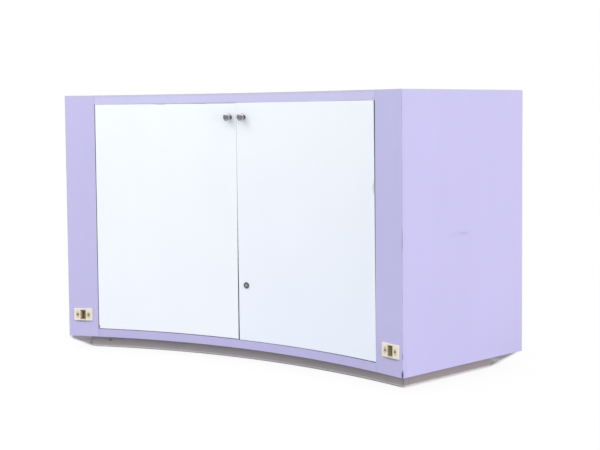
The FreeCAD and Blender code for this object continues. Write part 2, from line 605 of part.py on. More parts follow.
# Light: a curved housing under the customer ledge with a lamp strip and a diffuser, and a wire raceway
light_blank = between_ends("light_blank", "light_inner", "light_outer", "light_bottom", "light_height",
                           "board")
light_room = ring("light_room", "light_inner + light_wall", "light_outer - light_wall", "light_bottom",
                  "light_height - light_wall", "-half_angle", "half_angle")
node("light_housing", cut("light_housing", light_blank, [light_room]))
node("light_diffuser", between_ends("light_diffuser", "light_inner + light_wall + diffuser_gap",
                                    "light_outer - light_wall - diffuser_gap", "light_bottom",
                                    "diffuser_thickness", "board + diffuser_gap"))
lamp_middle = "(light_inner + light_outer) / 2"
node("lamp_strip", between_ends("lamp_strip", f"{lamp_middle} - lamp_width / 2",
                                f"{lamp_middle} + lamp_width / 2",
                                "ledge_bottom - light_wall - lamp_thickness", "lamp_thickness",
                                "board + light_wall"))
raceway_start = "frame_back + raceway_setback"
raceway_low = "plinth_height + board + raceway_bottom"
raceway_stop = "sqrt(light_inner ^ 2 - (board + raceway_width) ^ 2)"
riser = box("raceway_riser", "-half_angle", "board", raceway_start, raceway_low,
            "raceway_width", "raceway_depth", f"ledge_bottom - ({raceway_low})")
run = box("raceway_run", "-half_angle", "board", raceway_start, "ledge_bottom - raceway_depth",
          "raceway_width", f"{raceway_stop} - ({raceway_start})", "raceway_depth")
node("wire_raceway", fuse("wire_raceway", [riser, run]))

# Doors: curved boards with beds for the pivot leaves and holes for the knob screw and the lock
knob_holes = {}
for side, angle in (("left", "left_knob_at"), ("right", "right_knob_at")):
    knob_holes[side] = outward(side + "_knob_hole", angle, "0", "cut_start", "knob_z",
                               "knob_screw_radius", "cut_length")
lock_hole = outward("lock_hole", "lock_at", "0", "cut_start", "lock_z",
                    "lock_barrel_radius + running_gap", "cut_length")
door_height = "door_top - door_bottom"
left_door_blank = ring("left_door_blank", "staff_radius", "frame_back", "door_bottom", door_height,
                       "-door_edge", "left_meeting")
right_door_blank = ring("right_door_blank", "staff_radius", "frame_back", "door_bottom", door_height,
                        "right_meeting", "door_edge")
# The meeting edges are bevelled towards the back, so that one curved door swings clear of the other
left_bevel = box("left_door_bevel", "left_meeting", "0", "staff_radius", "door_bottom", "cut_length",
                 "cut_length", door_height, "rotationz(edge_bevel)")
right_bevel = box("right_door_bevel", "right_meeting", "0", "staff_radius", "door_bottom", "cut_length",
                  "cut_length", door_height, "rotationz(90 - edge_bevel)")
left_cuts = door_pivot_cuts["left"] + [left_bevel, knob_holes["left"]]
right_cuts = door_pivot_cuts["right"] + [right_bevel, knob_holes["right"], lock_hole]
node("left_door", cut("left_door", left_door_blank, left_cuts))
node("right_door", cut("right_door", right_door_blank, right_cuts))
for side in ("left", "right"):
    node(side + "_door_pivot_leaves", group(side + "_door_pivot_leaves", door_leaves[side]))
    node(side + "_door_pivot_screws", group(side + "_door_pivot_screws", door_leaf_screws[side]))

# Knobs: a foot, a neck and a flattened round head, held by a screw through the door
for side, angle in (("left", "left_knob_at"), ("right", "right_knob_at")):
    name = side + "_knob"
    foot = doc.addObject("Part::Cone", name + "_foot")
    bind(foot, Radius1="knob_neck_radius", Radius2="knob_foot_radius", Height="knob_foot_height")
    place(foot, angle, "0", "staff_radius - seat_gap - knob_foot_height", "knob_z", "rotationx(-90)")
    neck = outward(name + "_neck", angle, "0", "staff_radius - knob_reach + knob_half_thickness", "knob_z",
                   "knob_neck_radius", "knob_reach - knob_half_thickness - seat_gap")
    head = doc.addObject("Part::Ellipsoid", name + "_head")
    bind(head, Radius1="knob_half_thickness", Radius2="knob_radius")
    place(head, angle, "0", "staff_radius - knob_reach + knob_half_thickness", "knob_z", "rotationx(-90)")
    shank = outward(name + "_screw_shank", angle, "0", "staff_radius - knob_hole_depth", "knob_z",
                    "knob_screw_radius", "board + knob_hole_depth")
    screw_head = outward(name + "_screw_head", angle, "0", "frame_back", "knob_z",
                         "knob_screw_head_radius", "knob_screw_head_height")
    node(name, cut(name, fuse(name + "_blank", [foot, neck, head]), [shank]))
    node(name + "_screw", fuse(name + "_screw", [shank, screw_head]))

# Cam lock: a barrel clamped in the right door by a nut, a turning plug with a key slot, and a cam
lock_front = "staff_radius - lock_face_height"
face_bevel = doc.addObject("Part::Cone", "lock_face_bevelled")
bind(face_bevel, Radius1="lock_face_radius - lock_face_bevel", Radius2="lock_face_radius",
     Height="lock_face_bevel")
place(face_bevel, "lock_at", "0", lock_front, "lock_z", "rotationx(-90)")
face = outward("lock_face", "lock_at", "0", f"{lock_front} + lock_face_bevel", "lock_z", "lock_face_radius",
               "lock_face_height - lock_face_bevel - seat_gap")
stem = outward("lock_stem", "lock_at", "0", "staff_radius - lock_face_height / 2", "lock_z",
               "lock_barrel_radius", "barrel_back - staff_radius + lock_face_height / 2")
plug_room = outward("lock_plug_room", "lock_at", "0", lock_front, "lock_z",
                    "lock_plug_radius + running_gap", f"barrel_back - ({lock_front})")
node("lock_barrel", cut("lock_barrel", fuse("lock_barrel_blank", [face_bevel, face, stem]), [plug_room]))
hexagon = doc.addObject("Part::Prism", "lock_nut_blank")
hexagon.Polygon = 6
bind(hexagon, Circumradius="lock_nut_radius", Height="lock_nut_height")
place(hexagon, "lock_at", "0", "frame_back", "lock_z", "rotationx(-90)")
nut_bore = outward("lock_nut_bore", "lock_at", "0", "frame_back", "lock_z", "lock_barrel_radius",
                   "lock_nut_height")
node("lock_nut", cut("lock_nut", hexagon, [nut_bore]))
core = outward("lock_core", "lock_at", "0", lock_front, "lock_z", "lock_plug_radius",
               f"cam_front - ({lock_front})")
tail = outward("lock_tail", "lock_at", "0", "cam_front", "lock_z", "lock_tail_radius", "cam_thickness")
key_slot = box("key_slot", "lock_at", "-key_slot_width / 2", lock_front, "lock_z - key_slot_height / 2",
               "key_slot_width", "key_slot_depth", "key_slot_height")
cam_shank = outward("cam_screw_shank", "lock_at", "0", "cam_back - cam_screw_length", "lock_z",
                    "cam_screw_radius", "cam_screw_length")
cam_screw_head = outward("cam_screw_head", "lock_at", "0", "cam_back", "lock_z", "cam_screw_head_radius",
                         "cam_screw_head_height")
node("lock_plug", cut("lock_plug", fuse("lock_plug_blank", [core, tail]), [key_slot, cam_shank]))
cam_tip = "cam_length - cam_width / 2"
cam_hub = outward("cam_hub", "lock_at", "0", "cam_front", "lock_z", "cam_width / 2", "cam_thickness")
cam_end = outward("cam_end", "lock_at", cam_tip, "cam_front", "lock_z", "cam_width / 2", "cam_thickness")
cam_arm = box("cam_arm", "lock_at", "0", "cam_front", "lock_z - cam_width / 2", cam_tip,
              "cam_thickness", "cam_width")
node("lock_cam", cut("lock_cam", fuse("lock_cam_blank", [cam_hub, cam_end, cam_arm]), [tail]))
node("cam_screw", fuse("cam_screw", [cam_shank, cam_screw_head]))

# Lock strike: an angle under the deck, whose flange hangs between the door and the turned cam
strike_out = "frame_back + strike_gap"
strike_leaf = box("strike_leaf", "lock_at", "-strike_width / 2", strike_out,
                  "deck_bottom - strike_thickness", "strike_width",
                  "deck_setback - strike_gap + strike_lap", "strike_thickness")
strike_flange = box("strike_flange", "lock_at", "-strike_width / 2", strike_out,
                    "deck_bottom - strike_thickness - strike_drop", "strike_width", "strike_thickness",
                    "strike_thickness + strike_drop")
node("lock_strike", fuse("lock_strike", [strike_leaf, strike_flange]))

# Magnetic catches under the staff ledge stop the doors, and their strikes are on the doors' backs
catches = []
for side, angle in (("left", "-catch_at"), ("right", "catch_at")):
    catches.append(box(side + "_catch", angle, "-catch_length / 2",
                       "frame_back + catch_strike_thickness + catch_gap", "ledge_bottom - catch_height",
                       "catch_length", "catch_depth", "catch_height"))
    catch_strike = box(side + "_catch_strike", angle, "-catch_strike_length / 2", "frame_back",
                       "door_top - catch_strike_drop - catch_strike_height",
                       "catch_strike_length", "catch_strike_thickness", "catch_strike_height")
    node(side + "_catch_strike", catch_strike)
node("magnetic_catches", group("magnetic_catches", catches))

# Bolt on the back of the left door: two collars on a plate, a rod with a knob, and a strike under the ledge
bolt_plate = box("bolt_plate", "bolt_at", "-bolt_plate_length / 2", "frame_back", "bolt_plate_bottom",
                 "bolt_plate_length", "bolt_plate_thickness", "bolt_plate_height")
collars = []
for level, collar_low in (("lower", "bolt_plate_bottom"), ("upper", "bolt_plate_top - bolt_collar_height")):
    collars.append(box(level + "_collar", "bolt_at", "-bolt_collar_length / 2", "bolt_plate_back",
                       collar_low, "bolt_collar_length", "bolt_collar_depth", "bolt_collar_height"))
rod_bore = upright("bolt_bore", "bolt_at", "0", "bolt_axis", "bolt_plate_bottom",
                   "bolt_radius + running_gap", "bolt_plate_height")
node("bolt_housing", cut("bolt_housing", fuse("bolt_housing_blank", [bolt_plate] + collars), [rod_bore]))
rod = upright("bolt_rod_stem", "bolt_at", "0", "bolt_axis", "bolt_plate_bottom", "bolt_radius",
              "bolt_plate_height + bolt_tip")
rod_knob = outward("bolt_rod_knob", "bolt_at", "0", "bolt_axis",
                   "bolt_plate_bottom + bolt_collar_height + bolt_knob_gap", "bolt_knob_radius",
                   "bolt_knob_reach")
node("bolt_rod", fuse("bolt_rod", [rod, rod_knob]))
bolt_strike_blank = box("bolt_strike_blank", "bolt_at", "-bolt_strike_length / 2", "frame_back",
                        "head_rail", "bolt_strike_length", "2 * (bolt_axis - frame_back)",
                        "ledge_bottom - head_rail")
strike_bore = upright("bolt_strike_bore", "bolt_at", "0", "bolt_axis", "head_rail",
                      "bolt_radius + bolt_strike_gap", "ledge_bottom - head_rail")
node("bolt_strike", cut("bolt_strike", bolt_strike_blank, [strike_bore]))

# Write each sub-part
doc.recompute()
os.makedirs("parts", exist_ok=True)
for piece in doc.Objects:
    if "Invalid" in piece.State or "Error" in piece.State:
        raise RuntimeError(f"{piece.Name} failed: {piece.State}")
for piece in nodes:
    if piece.Shape.isNull() or not piece.Shape.isValid():
        raise RuntimeError(f"{piece.Label} has no valid shape")
for piece in nodes:
    piece.Shape.exportStep(f"parts/{piece.Label}.step")
print(len(nodes), "sub-parts written")
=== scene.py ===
import math

import bmesh
import bpy
from mathutils import Color, Matrix, Vector


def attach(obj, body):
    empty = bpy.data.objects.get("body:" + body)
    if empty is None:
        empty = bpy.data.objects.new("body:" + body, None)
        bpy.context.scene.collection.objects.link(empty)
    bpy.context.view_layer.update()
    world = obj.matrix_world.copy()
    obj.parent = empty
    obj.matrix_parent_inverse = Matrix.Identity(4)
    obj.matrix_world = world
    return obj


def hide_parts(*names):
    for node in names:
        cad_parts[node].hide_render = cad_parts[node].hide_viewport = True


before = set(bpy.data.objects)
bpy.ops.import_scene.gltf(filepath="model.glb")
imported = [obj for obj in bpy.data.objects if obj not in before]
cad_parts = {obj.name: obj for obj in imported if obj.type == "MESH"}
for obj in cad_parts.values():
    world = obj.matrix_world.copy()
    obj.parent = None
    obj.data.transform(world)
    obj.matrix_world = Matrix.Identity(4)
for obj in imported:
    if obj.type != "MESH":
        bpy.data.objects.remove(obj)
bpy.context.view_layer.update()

# Plinth
# Four boards in grey-brown laminate stand on edge under the case, set back on every side, with a plain
# rib across the middle. They are glued and screwed up into the base panel. Their feet are painted lighter,
# most in a thin band at the floor: painted light, so that their tops look shaded by the case above.
SIDES = {"left": -1, "right": 1}
STAFF_RADIUS = 2.040
CUSTOMER_RADIUS = 2.632
HALF_ANGLE = math.radians(20)
RING_CENTRE = Vector((0, -(CUSTOMER_RADIUS + STAFF_RADIUS * math.cos(HALF_ANGLE)) / 2, 0))
BOARD = 0.019
BEND_STEP = math.radians(0.5)
SHARP = math.radians(25)
SAME_PLACE = 1e-5
NOISE_LOW = 0.32
NOISE_HIGH = 0.68
MARK_SOLID = 0.55
PLINTH_HEIGHT = 0.052
PLINTH_END_RECESS = 0.064
PLINTH_STAFF_RECESS = 0.072
PLINTH_CUSTOMER_RECESS = 0.093
PLINTH_EASE = 0.0008


def seat(angle):
    """Takes a point given along the tangent, out from the ring's centre and up to its place in the case."""
    return Matrix.Translation(RING_CENTRE) @ Matrix.Rotation(-angle, 4, "Z")


def bent(section, start, end):
    """A board bent to the ring: its section, in radii and heights, is spun round the ring's centre."""
    bm = bmesh.new()
    place = seat(start)
    face = bm.faces.new([bm.verts.new(place @ Vector((0, radius, height))) for radius, height in section])
    bmesh.ops.spin(bm, geom=[face, *face.edges, *face.verts], cent=RING_CENTRE, axis=(0, 0, -1),
                   angle=end - start, steps=math.ceil((end - start) / BEND_STEP))
    bmesh.ops.recalc_face_normals(bm, faces=bm.faces)
    return bm


def strip(inner, outer, bottom, top):
    """The plain section of a bent board."""
    return [(inner, bottom), (outer, bottom), (outer, top), (inner, top)]


def block(low, high, angle):
    """A straight board between two corners, each given along, out and up at an angle of the ring."""
    bm = bmesh.new()
    bmesh.ops.create_cube(bm, size=1)
    low = Vector(low)
    high = Vector(high)
    bmesh.ops.scale(bm, vec=high - low, verts=bm.verts)
    bmesh.ops.translate(bm, vec=(low + high) / 2, verts=bm.verts)
    bmesh.ops.transform(bm, matrix=seat(angle), verts=bm.verts)
    return bm


def end_block(sign, inset, width, start, stop, bottom, top):
    """A straight board along an end of the case, this far inside it, from one distance out to another."""
    outside = -sign * inset
    inside = outside - sign * width
    return block((min(inside, outside), start, bottom), (max(inside, outside), stop, top), sign * HALF_ANGLE)


def face_plane(angle, out):
    """The plane across the radius, this far out at an angle of the ring, as a point and a normal."""
    place = seat(angle)
    return place @ Vector((0, out, 0)), place.to_3x3() @ Vector((0, 1, 0))


def round_off(bm, edges, width):
    """Rounds edges of a piece and gives the rounded strips."""
    return bmesh.ops.bevel(bm, geom=edges, offset=width, offset_type="OFFSET", segments=2, profile=0.5,
                           affect="EDGES", material=-1, clamp_overlap=True)["faces"]


def ease(bm, width, *joints):
    """Rounds the sharp edges of a piece and marks the rounded strips, where its finish wears.

    Edges in the plane of a joint, a point and a normal, meet another board and stay sharp.
    """
    worn = bm.faces.layers.float.new("worn")
    sharp = [edge for edge in bm.edges if edge.calc_face_angle(0) > SHARP]
    for point, normal in joints:
        sharp = [edge for edge in sharp
                 if any(abs((corner.co - point).dot(normal)) > SAME_PLACE for corner in edge.verts)]
    for face in round_off(bm, sharp, width):
        face[worn] = 1
    return bm


def joined(pieces):
    """Several meshes as one."""
    bm = bmesh.new()
    for piece in pieces:
        mesh = bpy.data.meshes.new("part")
        piece.to_mesh(mesh)
        piece.free()
        bm.from_mesh(mesh)
        bpy.data.meshes.remove(mesh)
    return bm


def stand(name, bm, material):
    """Puts a finished mesh into the scene."""
    mesh = bpy.data.meshes.new(name)
    bm.to_mesh(mesh)
    bm.free()
    mesh.materials.append(material)
    thing = bpy.data.objects.new(name, mesh)
    bpy.context.scene.collection.objects.link(thing)
    return thing


def set_piece(name, bm, body, material, slot, *nodes):
    """Puts a piece of the case into the scene: it rides on a body and stands for CAD nodes."""
    piece = stand(name, bm, material)
    piece.data.shade_smooth()
    piece.data.set_sharp_from_angle(angle=SHARP / 2)
    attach(piece, body)
    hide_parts(*nodes)


def colour(red, green, blue):
    """A colour as it shows, from 0 to 255, as the shader's linear values."""
    return (*Color((red / 255, green / 255, blue / 255)).from_srgb_to_scene_linear(), 1.0)


def fill(tree, node, inputs):
    """Sets or links the inputs of a node."""
    for name, value in inputs.items():
        if isinstance(value, bpy.types.NodeSocket):
            tree.links.new(value, node.inputs[name])
        else:
            node.inputs[name].default_value = value


def add(tree, kind, inputs, **options):
    """Adds a node, sets its options, and sets or links its inputs."""
    node = tree.nodes.new("ShaderNode" + kind)
    for name, value in options.items():
        setattr(node, name, value)
    fill(tree, node, inputs)
    return node


def own_place(tree):
    """The piece's own coordinates."""
    return add(tree, "TexCoord", {}).outputs["Object"]


def combine(tree, how, first, second):
    """Works out one value from two."""
    return add(tree, "Math", {0: first, 1: second}, operation=how).outputs[0]


def move(tree, how, first, second):
    """Works out one vector from two."""
    return add(tree, "VectorMath", {0: first, 1: second}, operation=how).outputs["Vector"]


def measure(tree, how, first, second=(0, 0, 0)):
    """Works out a value from one vector or two."""
    return add(tree, "VectorMath", {0: first, 1: second}, operation=how).outputs["Value"]


def ramp(tree, value, start, end, low, high, how="SMOOTHSTEP"):
    """Goes from one value to another as an input passes from start to end."""
    sockets = {"Value": value, "From Min": start, "From Max": end, "To Min": low, "To Max": high}
    return add(tree, "MapRange", sockets, interpolation_type=how).outputs["Result"]


def cloud(tree, scale, low, high, stretch=(1, 1, 1)):
    """Soft noise on the piece's own coordinates, spread between two values."""
    mapped = add(tree, "Mapping", {"Vector": own_place(tree), "Scale": stretch}).outputs["Vector"]
    noise = add(tree, "TexNoise", {"Vector": mapped, "Scale": scale, "Detail": 5.0}).outputs["Fac"]
    return ramp(tree, noise, NOISE_LOW, NOISE_HIGH, low, high, "LINEAR")


def blend(tree, share, first, second, how="MIX"):
    """Mixes two colours."""
    node = add(tree, "Mix", {0: share, 6: first, 7: second}, data_type="RGBA", blend_type=how)
    return node.outputs[2]


def new_finish(name):
    """An empty material with its shader."""
    material = bpy.data.materials.new(name)
    material.use_nodes = True
    return material, material.node_tree, material.node_tree.nodes["Principled BSDF"]


def spot(tree, centre, radii, roughen):
    """A soft mark round a point of the piece, 1 in its middle and 0 outside, with a broken edge."""
    offset = move(tree, "SUBTRACT", own_place(tree), centre)
    reach = measure(tree, "LENGTH", move(tree, "DIVIDE", offset, radii))
    return ramp(tree, combine(tree, "ADD", reach, roughen), MARK_SOLID, 1.0, 1.0, 0.0)


def marked(tree, tone, marks):
    """Lays soft marks over a tone, each given as a centre, radii, a shade and a strength."""
    crumble = cloud(tree, scale=160.0, low=-0.18, high=0.18)
    for centre, radii, shade, strength in marks:
        share = combine(tree, "MULTIPLY", spot(tree, centre, radii, crumble), strength)
        tone = blend(tree, share, tone, shade)
    return tone


def laminate(name, face, core, wear, gloss, mottle, marks=(), foot=None):
    """Plastic laminate on board: slightly cloudy, a fine suede texture, worn to its core at the edges.

    Where a foot is given, as a tone and two heights, the face goes over to that tone downwards.
    """
    material, tree, shader = new_finish(name)
    if foot:
        foot_tone, low, high = foot
        height = add(tree, "SeparateXYZ", {0: own_place(tree)}).outputs["Z"]
        face = blend(tree, ramp(tree, height, low, high, 1.0, 0.0, "LINEAR"), face, foot_tone)
    clouded = cloud(tree, scale=2.2, low=1 - mottle, high=1 + mottle / 2)
    wiped = cloud(tree, scale=14.0, low=1 - mottle / 2, high=1 + mottle / 4, stretch=(1, 1, 0.12))
    tone = blend(tree, 1.0, blend(tree, 1.0, face, clouded, "MULTIPLY"), wiped, "MULTIPLY")
    edge = add(tree, "Attribute", {}, attribute_name="worn").outputs["Fac"]
    patchy = cloud(tree, scale=11.0, low=wear * 0.15, high=wear)
    rubbed = add(tree, "Math", {0: edge, 1: patchy}, operation="MULTIPLY", use_clamp=True).outputs[0]
    suede = cloud(tree, scale=900.0, low=0.0, high=1.0)
    grain = add(tree, "Bump", {"Height": suede, "Strength": 0.06, "Distance": 0.0003})
    fill(tree, shader, {
        "Base Color": marked(tree, blend(tree, rubbed, tone, core), marks),
        "Specular IOR Level": ramp(tree, rubbed, 0.0, 1.0, 0.5, 0.03, "LINEAR"),
        "Roughness": cloud(tree, scale=5.0, low=gloss - 0.05, high=gloss + 0.07),
        "Normal": grain.outputs["Normal"],
    })
    return material


PLINTH_TONE = colour(159, 156, 164)
PLINTH_CORE = colour(170, 165, 163)
PLINTH_CORNER = colour(164, 157, 158)
PLINTH_NICK = colour(104, 98, 98)
PLINTH_LIT_SOLE = colour(240, 238, 238)
# Painted light: the boards go over to these foot tones towards the floor.
PLINTH_LIT_FOOT = colour(208, 203, 205)
PLINTH_DIM_LIT_FOOT = colour(177, 169, 169)
LIT_FOOT_HEIGHT = 0.036
ALL_ROUND = 50
MELAMINE = colour(229, 227, 220)
MELAMINE_CORE = colour(170, 150, 120)
plinth_staff_face = STAFF_RADIUS + PLINTH_STAFF_RECESS
plinth_staff_back = plinth_staff_face + BOARD
plinth_customer_face = CUSTOMER_RADIUS - PLINTH_CUSTOMER_RECESS
plinth_customer_back = plinth_customer_face - BOARD
right_corner = seat(HALF_ANGLE) @ Vector((-PLINTH_END_RECESS, plinth_staff_face + BOARD / 2, 0.02))
plinth_marks = [
    ((-0.591, -0.247, 0.026), (0.010, 0.010, 0.007), PLINTH_NICK, 0.6),
    (right_corner, (0.016, 0.016, 0.06), PLINTH_CORNER, 0.8),
    # Painted light: a pale band along the boards' feet at the floor.
    ((0, 0, 0), (ALL_ROUND, ALL_ROUND, 0.0065), PLINTH_LIT_SOLE, 0.85),
]
# Painted light in two strengths: the end and customer boards get a copy with the dimmer painted foot.
plinth_laminate, dim_plinth_laminate = [
    laminate(name, PLINTH_TONE, PLINTH_CORE, wear=0.7, gloss=0.62, mottle=0.05, marks=plinth_marks,
             foot=(foot, 0.0, LIT_FOOT_HEIGHT))
    for name, foot in (("plinth_laminate", PLINTH_LIT_FOOT), ("end_plinth_laminate", PLINTH_DIM_LIT_FOOT))]
bent_plinths = (
    ("staff", plinth_staff_face, plinth_staff_back, plinth_laminate),
    ("customer", plinth_customer_back, plinth_customer_back, dim_plinth_laminate),
)
for name, inner, back, finish in bent_plinths:
    end_angle = HALF_ANGLE - math.asin(PLINTH_END_RECESS / inner)
    board = bent(strip(inner, inner + BOARD, 0, PLINTH_HEIGHT), -end_angle, end_angle)
    joints = [face_plane(sign * end_angle, back) for sign in SIDES.values()]
    set_piece(name + "_plinth", ease(board, PLINTH_EASE, *joints), "case", finish, "plinth_laminate",
              f"plinth_{name}_board")
plinth_end_start = math.sqrt(plinth_staff_back ** 2 - PLINTH_END_RECESS ** 2)
plinth_end_stop = math.sqrt(plinth_customer_back ** 2 - (PLINTH_END_RECESS + BOARD) ** 2)
for side, sign in SIDES.items():
    board = end_block(sign, PLINTH_END_RECESS, BOARD, plinth_end_start, plinth_end_stop, 0, PLINTH_HEIGHT)
    joints = [face_plane(sign * HALF_ANGLE, out) for out in (plinth_end_start, plinth_end_stop)]
    set_piece(side + "_plinth", ease(board, PLINTH_EASE, *joints), "case", dim_plinth_laminate,
              "plinth_laminate", f"plinth_{side}_board")
melamine = laminate("melamine", MELAMINE, MELAMINE_CORE, wear=0.5, gloss=0.5, mottle=0.03)
rib_stop = math.sqrt(plinth_customer_back ** 2 - BOARD ** 2 / 4)
rib = block((-BOARD / 2, plinth_staff_back, 0), (BOARD / 2, rib_stop, PLINTH_HEIGHT), 0)
set_piece("rib_of_plinth", ease(rib, PLINTH_EASE), "case", melamine, "inner_board", "plinth_rib")

# Base panel
# The floor of the case is melamine-faced board, sawn to the curve and to the slant of the ends. It lies on
# the plinth and is screwed to the end panels.
FRAME_BACK = STAFF_RADIUS + BOARD
CUSTOMER_INSIDE = CUSTOMER_RADIUS - BOARD
BOARD_EASE = 0.0006


def everything(bm):
    """All of a mesh."""
    return [*bm.verts, *bm.edges, *bm.faces]


def saw_off(bm, point, normal):
    """Saws off what lies past a plane and closes the cut."""
    sawn = bmesh.ops.bisect_plane(bm, geom=everything(bm), dist=SAME_PLACE, plane_co=point,
                                  plane_no=normal, clear_outer=True)
    rim = [part for part in sawn["geom_cut"] if isinstance(part, bmesh.types.BMEdge)]
    bmesh.ops.holes_fill(bm, edges=rim, sides=0)
    bmesh.ops.recalc_face_normals(bm, faces=bm.faces)


def across(section, inset):
    """A bent board from end to end of the case, sawn parallel to the end panels, this far inside them."""
    bm = bent(section, -HALF_ANGLE, HALF_ANGLE)
    for sign in SIDES.values():
        place = seat(sign * HALF_ANGLE)
        saw_off(bm, place @ Vector((-sign * inset, 0, 0)), place.to_3x3() @ Vector((sign, 0, 0)))
    return bm


base = across(strip(FRAME_BACK, CUSTOMER_INSIDE, PLINTH_HEIGHT, PLINTH_HEIGHT + BOARD), BOARD)
set_piece("base_board", ease(base, BOARD_EASE), "case", melamine, "inner_board", "base_panel")

# End panels
# A flat board in lilac laminate closes each radial end, so that cases can stand side by side in a ring.
# The right one has a faint scuff half way up, and the corner beside it is rubbed and chipped.
CASE_TOP = 0.966
LAMINATE_EASE = 0.0009
LILAC = colour(193, 190, 231)
LILAC_CORE = colour(112, 100, 126)
CHIPPED = colour(62, 56, 74)
SCUFFED = colour(160, 155, 195)
DULLED = colour(194, 193, 213)
GRIME_AND_SHADOW = colour(140, 134, 160)
lilac_marks = [
    ((0.795, -0.089, 0.492), (0.012, 0.030, 0.0036), SCUFFED, 0.5),
    ((0.790, -0.100, 0.490), (0.030, 0.085, 0.012), SCUFFED, 0.14),
    ((0.696, -0.357, 0.063), (0.005, 0.005, 0.017), CHIPPED, 0.9),
    ((0.696, -0.357, 0.122), (0.004, 0.004, 0.014), CHIPPED, 0.3),
    ((0.697, -0.357, 0.490), (0.003, 0.003, 0.045), CHIPPED, 0.25),
    ((0.577, -0.318, 0.940), (0.005, 0.005, 0.005), GRIME_AND_SHADOW, 0.35),
    # Painted shadow: the next two darken the stiles just under the socket plates, where the plates cast
    # shade.
    ((-0.645, -0.3386, 0.1105), (0.037, 0.037, 0.0055), GRIME_AND_SHADOW, 0.65),
    ((0.651, -0.3407, 0.1080), (0.037, 0.037, 0.0055), GRIME_AND_SHADOW, 0.65),
    ((0, 0, CASE_TOP), (ALL_ROUND, ALL_ROUND, 0.0100), DULLED, 0.8),
]


def lilac(name, tone, wear, foot=None):
    """The case's lilac laminate in one of its tones."""
    return laminate(name, tone, LILAC_CORE, wear, gloss=0.5, mottle=0.02, marks=lilac_marks, foot=foot)


lilac_laminate = lilac("lilac_laminate", LILAC, wear=0.55)
for side, sign in SIDES.items():
    board = end_block(sign, 0, BOARD, FRAME_BACK, CUSTOMER_RADIUS, PLINTH_HEIGHT, CASE_TOP)
    stile_joint = face_plane(sign * HALF_ANGLE, FRAME_BACK)
    set_piece(side + "_end", ease(board, LAMINATE_EASE, stile_joint), "case", lilac_laminate,
              "lilac_laminate", f"{side}_end_panel")

# Stiles
# Two full-height boards bent to the ring, in lilac laminate, cover the front edges of the end panels. Each
# has a sawn opening low down for a socket. The right one darkens towards the floor: painted shade.
STILE_WIDTH = 0.1185
STILE_EDGE = HALF_ANGLE - STILE_WIDTH / STAFF_RADIUS
SOCKET_INSETS = {"left": 0.0585, "right": 0.052}
SOCKET_HEIGHTS = {"left": 0.1355, "right": 0.133}
OPENING_HALF_LENGTH = 0.013
OPENING_HALF_HEIGHT = 0.020
FACING = 0.5
# Painted shade: the right stile and the bottom rail go over to this darker tone towards the floor.
LILAC_SHADED_FOOT = colour(188, 184, 225)
FOOT_SHADE_START = 0.24
FOOT_SHADE_END = 0.055


def saw_opening(bm, angle, half_length, middle, half_height):
    """Saws a straight-sided opening right through a bent or flat board."""
    place = seat(angle)
    turn = place.to_3x3()
    sides = []
    for sign in SIDES.values():
        sides.append(((sign * half_length, 0, middle), (1, 0, 0)))
        sides.append(((0, 0, middle + sign * half_height), (0, 0, 1)))
    for point, normal in sides:
        bmesh.ops.bisect_plane(bm, geom=everything(bm), plane_co=place @ Vector(point),
                               plane_no=turn @ Vector(normal))
    to_board = place.inverted()
    sawn = []
    for face in bm.faces:
        point = to_board @ face.calc_center_median()
        facing = abs((turn.transposed() @ face.normal).y) > FACING
        if facing and abs(point.x) < half_length and abs(point.z - middle) < half_height:
            sawn.append(face)
    bmesh.ops.delete(bm, geom=sawn, context="FACES")
    rim = [edge for edge in bm.edges if edge.is_boundary]
    bmesh.ops.bridge_loops(bm, edges=rim)
    bmesh.ops.recalc_face_normals(bm, faces=bm.faces)
    return bm


# The right stile's and the bottom rail's finish, with painted shade towards the floor.
foot_shaded_laminate = lilac("foot_shaded_laminate", LILAC, wear=0.55, foot=(LILAC_SHADED_FOOT, FOOT_SHADE_END, FOOT_SHADE_START))
stile_finishes = {"left": lilac_laminate, "right": foot_shaded_laminate}
socket_angles = {}
for side, sign in SIDES.items():
    socket_angles[side] = sign * (HALF_ANGLE - SOCKET_INSETS[side] / STAFF_RADIUS)
    start, end = sorted((sign * STILE_EDGE, sign * HALF_ANGLE))
    stile = bent(strip(STAFF_RADIUS, FRAME_BACK, PLINTH_HEIGHT, CASE_TOP), start, end)
    stile = ease(stile, LAMINATE_EASE, face_plane(sign * HALF_ANGLE, FRAME_BACK))
    stile = saw_opening(stile, socket_angles[side], OPENING_HALF_LENGTH, SOCKET_HEIGHTS[side],
                        OPENING_HALF_HEIGHT)
    set_piece(side + "_stile_board", stile, "case", stile_finishes[side], "lilac_laminate", side + "_stile")

# Rails
# A bent rail in lilac laminate joins the stiles above the doors and one below them. Each has two shallow
# beds for the pivot leaves that carry the doors. The top one is a little paler, painted light, and the
# bottom one takes the right stile's painted shade towards the floor.
RAIL_TOP = 0.082
HEAD_RAIL = 0.932
# Painted light: the top rail's paler tone.
LIT_LILAC = colour(201, 199, 234)
RAIL_EASE = 0.0004
DOOR_GAP = 0.0025
DOOR_EDGE = STILE_EDGE - DOOR_GAP / STAFF_RADIUS
PIVOT_INSET = 0.030
PIVOT_ANGLE = DOOR_EDGE - PIVOT_INSET / STAFF_RADIUS
PIVOT_RADIUS = STAFF_RADIUS + BOARD / 2
LEAF_HALF_LENGTH = 0.028
LEAF_HALF_WIDTH = 0.006
LEAF_THICKNESS = 0.0025


def corners_of(made):
    """The corners among the parts that an operator made."""
    return [part for part in made["geom"] if isinstance(part, bmesh.types.BMVert)]


